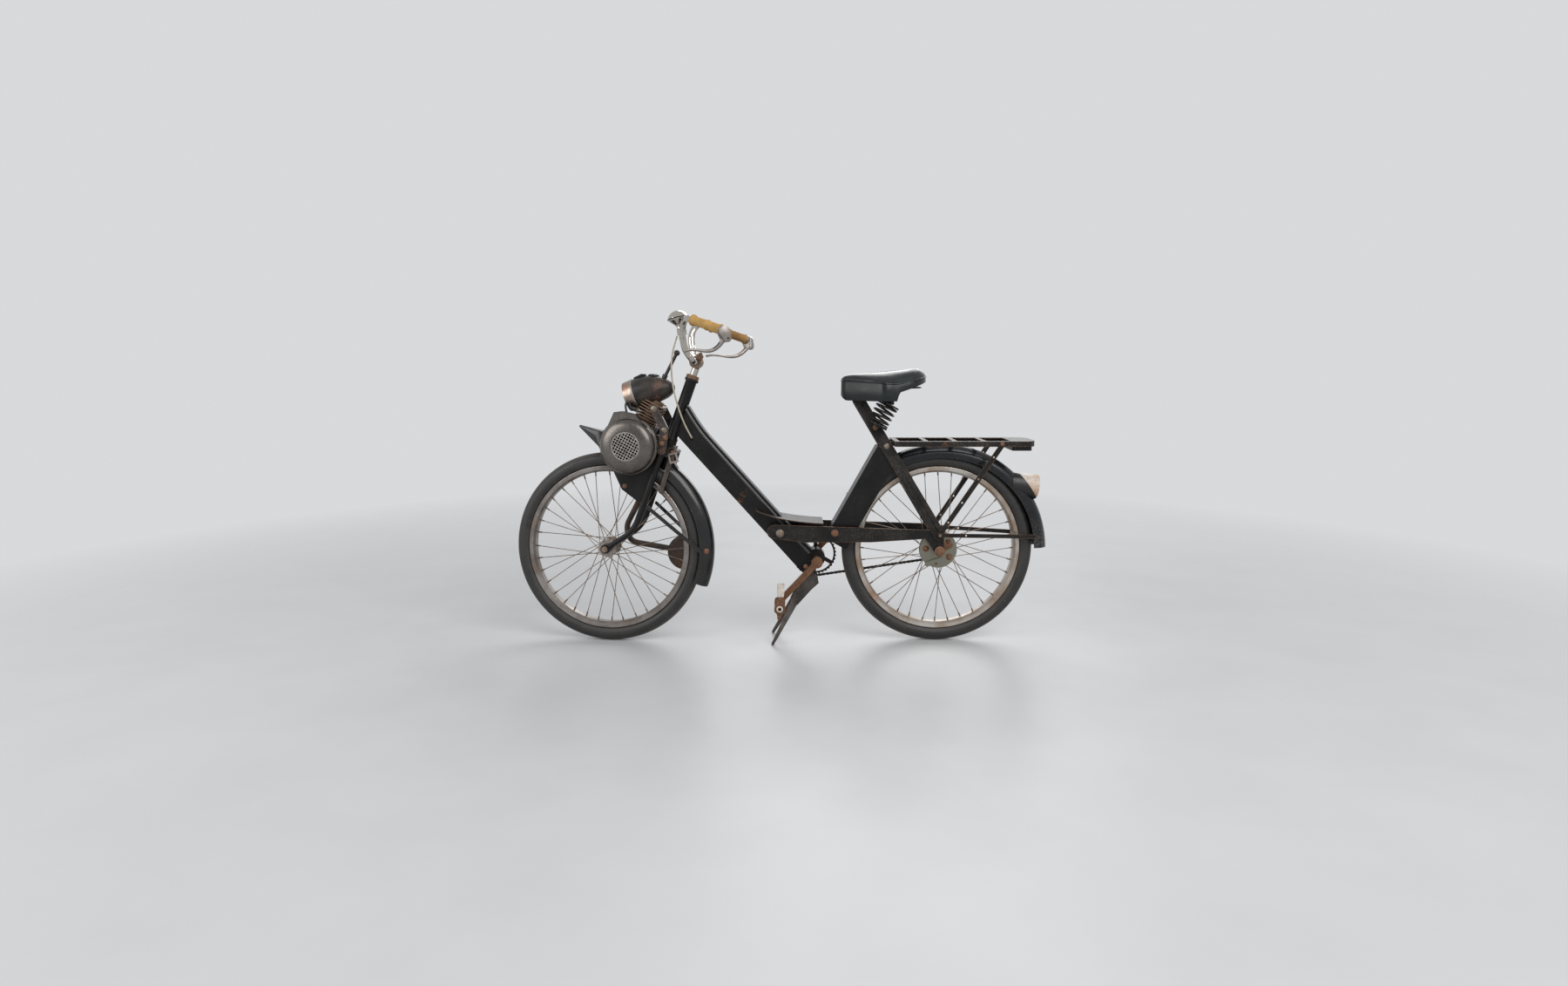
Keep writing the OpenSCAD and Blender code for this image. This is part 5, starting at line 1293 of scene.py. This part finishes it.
@dataclass
class Pedal:
    """One pedal: steel spindle, two plates and pins, and a pale block above."""

    side: Side
    body: Body
    inner: float = 98.0
    long: float = 82.0
    pins: float = 26.0
    blocks: int = 5

    def steel(self) -> Shape:
        """Spindle, plates and pins of the right pedal, drawn about the crank's end."""
        y0, y1 = self.inner, self.inner + self.long
        lie = spin(-90, "X")
        steel = Shape().add(Shape.lathe(
            [(6.8, 82.5), (7.0, 83.0), (7.0, y0), (11.4, y0), (12.0, y0 + 1.0), (12.0, y0 + 12.0), (8.4, y0 + 16.0),
             (8.4, y1 - 16.0), (11.0, y1 - 12.0), (11.6, y1), (10.4, y1 + 3.5), (7.0, y1 + 5.0),
             (2.0, y1 + 5.8)], 28), lie)
        outline = [(16.0 * x if abs(z) < 0.35 else 7.2 * x * (1.0 + 0.6 * (1 - abs(z))), 33.0 * z)
                   for x, z in turn(40)]
        for y in (y0, y1 - 4.0):
            steel.add(Shape.prism(outline, y, y + 4.0, 0.8), lie)
        pin = Shape.lathe([(4.6, y0 - 1.5), (5.0, y0 - 1.0), (5.0, y1), (6.4, y1), (6.4, y1 + 2.6), (5.0, y1 + 3.2)],
                          18)
        for s in Side:
            steel.add(pin, Matrix.Translation((0.0, 0.0, s.value * self.pins)) @ lie)
        return steel

    def block(self) -> Shape:
        """The right pedal's rubber block in slices."""
        outline = [(-10.5, -11.5), (-8.0, -14.5), (8.0, -14.5), (10.5, -11.5), (10.5, 8.0), (8.0, 11.0), (-8.0, 11.0),
                   (-10.5, 8.0)]
        lift = Matrix.Translation((0.0, 0.0, self.pins + 18.0)) @ spin(-90, "X")
        width = (self.long - 8.5) / self.blocks
        block = Shape()
        for k in range(self.blocks):
            low = self.inner + 4.25 + k * width
            block.add(Shape.prism(outline, low, low + width - 0.6, 1.4), lift)
        return block

    def build(self) -> None:
        """Make the pedal's steel, its block and the end cap with its nut."""
        s = self.side.value
        tip = vec(*LAY.bb) - vec(-110.0, -117.0).normalized() * (s * LAY.crank_len)
        place = Matrix.Translation((tip.x, 0.0, tip.y)) @ spin(3.0, "Y") @ Matrix.Scale(s, 4, ACROSS)
        y1 = self.inner + self.long
        cap = Shape.lathe([(r, y1 + h) for r, h in (
            (9.4, 2.0), (9.6, 5.0), (8.6, 6.4), (5.6, 6.6), (5.2, 5.0), (0.5, 5.0))], 28).moved(spin(-90, "X"))
        nut = Shape.lathe([(r, y1 + h) for r, h in ((4.4, 4.0), (4.4, 7.4), (3.6, 7.8))], 6).moved(spin(-90, "X"))
        own = (self.body.value,)
        for shape, name, finish, slot, replaces in (
                (cap, "cap", Paint.BLOCK, "pedal_mix", ()), (nut, "nut", Paint.OIL_AND_SHADE, "dark_steel", ()),
                (self.steel(), "steel", Paint.CRANK, "pedal_mix", own),
                (self.block(), "block", Paint.BLOCK, "pedal_mix", own)):
            shape.moved(place).piece(f"{self.side.name.lower()}_pedal_{name}", finish, self.body, slot, replaces)


@dataclass
class Fasteners:
    """Bolt heads, screws and small fittings on the frame and the rear drum."""

    nut_y: float = 70.2
    plate_y: float = 41.0
    stay_y: float = 67.25
    stay_lean: float = 0.1033

    def build(self) -> None:
        """Make the bolts by group."""
        wheel, eye = LAY.rear_axle, LAY.eye
        plain, rusty, drum = Shape(), Shape(), Shape()
        for s in Side:
            rows = [(plain, (10.0, 5.0, 12.0, True), (wheel.x - 478.0, 61.0, wheel.z + 53.0)),
                    (rusty, (9.5, 5.0, 11.0), (wheel.x - 314.0, 61.0, wheel.z + 54.0))]
            for share, kind in ((0.66, plain), (0.80, rusty)):
                p = eye + (LAY.stay_top - eye) * share
                rows.append((kind, (7.0, 3.6, 8.6, True), (p.x, self.stay_y - (p.y - eye.y) * self.stay_lean, p.y)))
            rows += [(rusty, (6.0, 3.0, 7.0, True), at) for at in ((100.0, 24.0, 234.0), (675.3, 75.6, 612.3))]
            for kind, sizes, (x, y, z) in rows:
                kind.add(Shape.bolt(*sizes), across(vec(x, y * s.value, z), s))
        for s in Side:
            rusty.add(Shape.bolt(11.0, 6.0, 15.5), across(wheel + ACROSS * (self.nut_y * s.value), s))
        for deg, r, size, rust in ((-34.0, 40.0, 8.0, True), (176.0, 38.0, 7.5, False), (96.0, 40.0, 5.0, False),
                                   (40.0, 38.0, 6.5, True), (-100.0, 41.0, 4.6, False)):
            p = polar(math.radians(deg), r)
            (rusty if rust else drum).add(Shape.bolt(size, 4.5, size + 2.0, not rust),
                                          across(wheel + vec(p.x, -self.plate_y, p.y)))
        arm = Shape.prism(two_discs((4.0, 8.0, 19.0), (34.0, 14.0, 9.0)), self.plate_y - 1.0, self.plate_y + 3.0, 0.8)
        drum.add(arm, Matrix.Translation(wheel) @ spin(90, "X"))
        for shape, name, finish in ((drum, "drum_fittings", Paint.CRANK), (plain, "frame_bolts", Paint.BOLT),
                                    (rusty, "rusted_bolts", Paint.RUST_BOLT)):
            shape.piece(name, finish, Body.FRAME, "old_steel")


@dataclass
class BeamTrim:
    """Rounded ridge along the main beam's sides, and the gusset behind the head tube."""

    half: float = 24.0
    depth: float = 68.0
    inset: float = 12.0

    def build(self) -> None:
        """Make the ridge on both sides and the gusset."""
        low, high = LAY.beam_root, LAY.on_axis(110.0, 19.0)
        tip = vec(LAY.bb[0] - 46.0, 0.0, LAY.bb[1] - 41.0)
        along = (tip - low).normalized()
        side = vec(-along.z, 0.0, along.x)
        knee = low + along * 66.0 + side * (self.depth + 2.0)
        end = low + along * ((tip - low).length - 26.0) + side * self.depth
        mid = knee - along * 48.0
        path = [end.lerp(knee, k / 6.0) for k in range(6)]
        path += [knee * (1 - t) ** 2 + mid * (2 * t * (1 - t)) + high * t * t for t in (k / 12.0 for k in range(13))]
        ridge = Shape()
        for s in Side:
            out = ACROSS * (s.value * (self.half + 1.2)) - side * self.inset
            ridge.add(Shape.sweep([p + out for p in path], lambda t: (4.4, 2.6), 14))
        # The ridge's paler enamel is a painted highlight.
        ridge.piece("beam_ridge", Paint.RIDGE, Body.FRAME, "black_paint")
        corners = [LAY.on_axis(16.0, 13.0), low + along * 9.0, high + along * 9.0 - side * 2.0,
                   LAY.on_axis(112.0, 13.0)]
        Shape.prism([p.xz for p in corners], -14.0, 14.0, 1.2).moved(spin(90, "X")).piece(
            "head_gusset", Paint.BLACK, Body.FRAME, "black_paint")


@dataclass
class EngineTrim:
    """Plug lead, plug, bolts and small fittings on the engine and behind the crown."""

    arm_y: float = 62.0
    clip_r: float = 84.0
    clip_y: float = 61.0
    coil_r: float = 4.2
    coil_turn: float = 0.9
    coil_rise: float = 0.36
    coil_steps: int = 60
    # Plug lead from the cover to the plug, from the crankshaft's middle.
    lead: tuple[Colour, ...] = (
        (-3.5, -59.6, 91.3), (-9.3, -52.6, 101.6), (-12.9, -47.5, 115.8), (-11.6, -45.6, 125.9), (-6.9, -42.8, 129.4),
        (-2.8, -40.3, 125.0), (-1.4, -39.3, 116.0), (3.8, -38.0, 110.6))

    def engine(self) -> None:
        """Make the fittings that lift with the engine."""
        shaft = LAY.shaft
        plug_out = vec(-0.89, -0.34, 0.31)
        leads = Shape.wire(smooth_path([shaft + vec(*p) for p in self.lead], 6), 3.3, 12, vec(0.3, 1.0, 0.0))
        leads.add(Shape.lathe([(5.0, -7.0), (6.4, -5.0), (6.4, 5.0), (4.6, 8.0)], 18),
                  facing(shaft + vec(9.1, -36.0, 108.7), plug_out))
        leads.piece("plug_lead", Paint.RUBBER, Body.ENGINE, "lever_black")
        plug = Shape.bolt(8.0, 6.0, 8.8).moved(facing(shaft + vec(21.6, -31.2, 104.4), plug_out))
        for p, r in ((LAY.on_axis(70.0, -66.0), 7.0), (LAY.on_axis(22.0, -16.0), 6.0)):
            for side in Side:
                plug.add(Shape.bolt(r, 4.0, r + 2.0), across(p + ACROSS * (self.arm_y * side.value), side))
        plug.piece("plug_and_bolts", Paint.BOLT, Body.ENGINE, "old_steel")
        rusty = Shape()
        for p in (LAY.on_axis(2.0, -6.0), LAY.on_axis(-18.0, -10.0)):
            rusty.add(Shape.bolt(6.4, 3.4, 8.0), across(p - ACROSS * self.arm_y))
        rusty.piece("arm_bolts", Paint.RUST_BOLT, Body.ENGINE, "old_steel")
        bands = Shape.lathe([(81.0, 62.0), (85.4, 62.3), (86.0, 63.4), (86.0, 67.4), (84.4, 68.0), (84.4, 72.4),
                             (85.3, 73.0), (85.3, 76.2), (84.0, 77.4), (82.3, 79.0), (81.0, 79.0)], 96, closed=True)
        bands.moved(across(shaft)).piece("cover_bands", Paint.COVER, Body.ENGINE, "engine_alloy")
        clips = Shape()
        for deg in (38.0, -4.0, 150.0, 218.0):
            p = polar(math.radians(deg), self.clip_r)
            clips.add(Shape.bolt(5.0, 14.0, dome=True), across(shaft + vec(p.x, -self.clip_y, p.y)))
        clips.piece("cover_screws", Paint.CASE, Body.ENGINE, "engine_alloy")

    def crown(self) -> None:
        """Make the brake's bright bracket, spring and bolts, which turn with the fork."""
        p = LAY.on_axis(-34.0, 26.0)
        corners = [(-13.0, -16.0), (13.0, -16.0), (13.0, 14.0), (-13.0, 14.0)]
        rings = [[vec(x * k, z * k, h) for x, z in corners]
                 for k, h in ((1.0, 0.0), (1.0, 7.0), (0.66, 7.0), (0.66, 0.0))]
        bright = Shape.loft(rings, closed=True).moved(
            Matrix.Translation((p.x + 2.0, -40.5, p.z - 15.0)) @ spin(-14.0, "Y") @ spin(90, "X"))
        coil = []
        for i in range(self.coil_steps + 1):
            q = polar(i * self.coil_turn, self.coil_r)
            coil.append(vec(p.x + 6.0 + 2.0 * i / self.coil_steps + q.x, -42.0 + q.y, p.z - 2.0 + self.coil_rise * i))
        bright.add(Shape.wire(coil, 1.1, 7, UPRIGHT))
        bright.piece("brake_bracket", Paint.ALLOY, Body.STEERING, "brake_alloy")
        dark = Shape()
        for sizes, at in (((6.5, 4.0, 8.0), p + vec(0.0, -41.0, 0.0)),
                          ((5.5, 3.4, 7.0), LAY.front_axle + vec(58.0, -35.0, 190.0)),
                          ((6.5, 4.0, 8.5), LAY.front_axle + vec(305.3, -29.3, -4.6))):
            dark.add(Shape.bolt(*sizes), across(at))
        dark.piece("crown_bolts", Paint.RUST_BOLT, Body.STEERING, "old_steel")

    def post(self) -> None:
        """Make the bright stem sleeve, the clamp's bolts and the bearing nut's ring."""
        high = LAY.head_len
        sleeve = Shape.lathe([(10.8, 0.0), (11.3, 0.6), (11.3, 21.0), (10.8, 21.6)], 40)
        sleeve.moved(facing(LAY.on_axis(high + 16.2), LAY.up)).piece(
            "post_sleeve", Paint.CHROME, Body.STEERING, "worn_chrome")
        ring = Shape.lathe([(18.6, 0.0), (19.7, 0.5), (19.7, 3.6), (18.8, 4.4), (18.8, 6.4), (17.6, 7.4), (14.0, 8.6),
                            (12.0, 9.0)], 40).moved(facing(LAY.on_axis(high + 7.6), LAY.up))
        ring.add(Shape.bolt(6.0, 5.0, 8.4), facing(LAY.on_axis(high + 80.0), LAY.up))
        ring.add(Shape.bolt(5.0, 4.0, 6.4), across(LAY.clamp + vec(15.0, -20.0, 9.0)))
        ring.piece("bearing_ring", Paint.RUST_BOLT, Body.STEERING, "old_steel")

    def build(self) -> None:
        """Make all of them."""
        self.engine()
        self.crown()
        self.post()


class BrakeCable:
    """Pale sheathed cable from the left riser to the main beam, with its stop."""

    radius = 2.4
    across = vec(1.0, 0.1, 0.1)

    def route(self) -> list[Vector]:
        """Points of the cable in millimetres, from the beam up to the riser."""
        low = LAY.beam_root + vec(41.0, 0.0, -4.0)
        points = [low + vec(*p) for p in ((0.0, -20.0, 0.0), (0.0, -26.5, 0.0), (-4.0, -34.0, 9.0))]
        points += [vec(*p) for p in ((-262.0, -42.0, 672.0), (-279.0, -47.0, 722.0), (-291.0, -50.5, 774.0),
                                     (-296.0, -52.0, 826.0), (-292.0, -53.0, 876.0), (-277.0, -58.0, 926.0))]
        return smooth_path(points, 5)

    def build(self) -> None:
        """Make the cable between the frame and the bars, and its stop."""
        path = self.route()
        shape = Shape.wire(path, self.radius, 12, self.across)
        obj = new_mesh("sheathed_cable", [LAY.still(p) for p in shape.points], shape.faces)
        obj.data.shade_smooth()
        obj.data.materials.append(Paint.SHEATH.material())
        stop = Shape.lathe([(3.0, -2.0), (6.4, -1.6), (6.4, 2.4), (4.4, 4.4), (3.0, 4.6)], 20)
        stop.moved(facing(vec(path[0].x, -24.0, path[0].z), -ACROSS)).add(
            Shape.wire(path[4:9], 3.6, 14, self.across)).piece("cable_stop", Paint.BLACK, Body.FRAME, "black_paint")
        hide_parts("brake_cable")
        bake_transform(obj)


@dataclass
class Studio:
    """Camera at the photo's view, pale floor and soft light."""

    camera_at: Colour = (0.0125, -2.882, 0.864)
    pitch: float = 8.045
    lens: float = 22.0
    floor_half: float = 14.0

    def camera(self) -> None:
        """Set the camera."""
        data = bpy.data.cameras.new("view")
        data.sensor_fit = "HORIZONTAL"
        data.sensor_width = 36.0
        data.lens = self.lens
        cam = new_object("view", data)
        cam.location = self.camera_at
        cam.rotation_euler = (math.radians(90.0 - self.pitch), 0.0, 0.0)
        bpy.context.scene.camera = cam

    def floor(self) -> None:
        """Lay a wide pale floor that fades out."""
        r = self.floor_half
        obj = new_mesh("floor", [(-r, -r, 0), (r, -r, 0), (r, r, 0), (-r, r, 0)], [(0, 1, 2, 3)])
        n = Nodes("pale_floor")
        clouds = n.span(n.noise(3.0, 3.0), 0.3, 0.7)
        n.surface({"Base Color": n.mix(clouds, (0.50, 0.505, 0.51), (0.54, 0.545, 0.55)), "Roughness": 0.42})
        fade = n.node("MixShader", {0: n.span(n.away_from(vec(0.0, 0.3, 0.0)), 1.1, 3.4), 1: n.bsdf.outputs[0],
                                    2: n.node("BsdfTransparent").outputs[0]})
        n.feed(n.tree.nodes["Material Output"], {"Surface": fade.outputs[0]})
        obj.data.materials.append(n.material)

    def light(self) -> None:
        """Hang soft lamps and set a pale world."""
        for name, at, aim, size, power in (
                ("key", (1.6, -2.6, 2.9), (0.0, 0.0, 0.5), 2.6, 95.0),
                ("fill", (-2.8, -1.9, 1.9), (-0.2, 0.0, 0.5), 2.2, 48.0),
                ("rim", (0.6, 2.6, 2.4), (0.0, 0.0, 0.6), 2.4, 60.0)):
            data = bpy.data.lights.new(name, "AREA")
            data.shape = "SQUARE"
            data.size = size
            data.energy = power
            lamp = new_object(name, data)
            lamp.location = at
            lamp.rotation_euler = (vec(*aim) - vec(*at)).to_track_quat("-Z", "Y").to_euler()
        world = bpy.data.worlds.new("studio")
        bpy.context.scene.world = world
        world.use_nodes = True
        w = Wiring(world.node_tree)
        ray = w.node("LightPath").outputs
        shiny = w.node("Math", {0: ray["Is Glossy Ray"], 1: ray["Is Transmission Ray"]}, operation="MAXIMUM")
        seen = w.node("Math", {0: ray["Is Camera Ray"], 1: shiny.outputs["Value"]}, operation="MAXIMUM")
        level = w.node("MapRange", {"Value": seen.outputs["Value"], "To Min": 0.42, "To Max": 0.84})
        w.feed(w.tree.nodes["Background"], {"Color": (0.82, 0.83, 0.85), "Strength": level.outputs["Result"]})

    def build(self) -> None:
        """Set camera, floor, light and colour view."""
        self.camera()
        self.floor()
        self.light()
        bpy.context.scene.view_settings.view_transform = "Standard"


def main() -> None:
    """Build the scene piece by piece."""
    logging.basicConfig(level=logging.INFO, format="%(name)s: %(message)s")
    for part in (Studio(), BrakeCable(), Dresser(), Wheel("front_tyre", Body.FRONT_WHEEL, LAY.front_axle),
                 Wheel("rear_tyre", Body.REAR_WHEEL, LAY.rear_axle), Saddle(), Springs(), DriveChain(), Controls(),
                 Headlamp(), Pedal(Side.LEFT, Body.LEFT_PEDAL), Pedal(Side.RIGHT, Body.RIGHT_PEDAL), Fasteners(),
                 BeamTrim(), EngineTrim()):
        part.build()


if __name__ == "__main__":
    main()
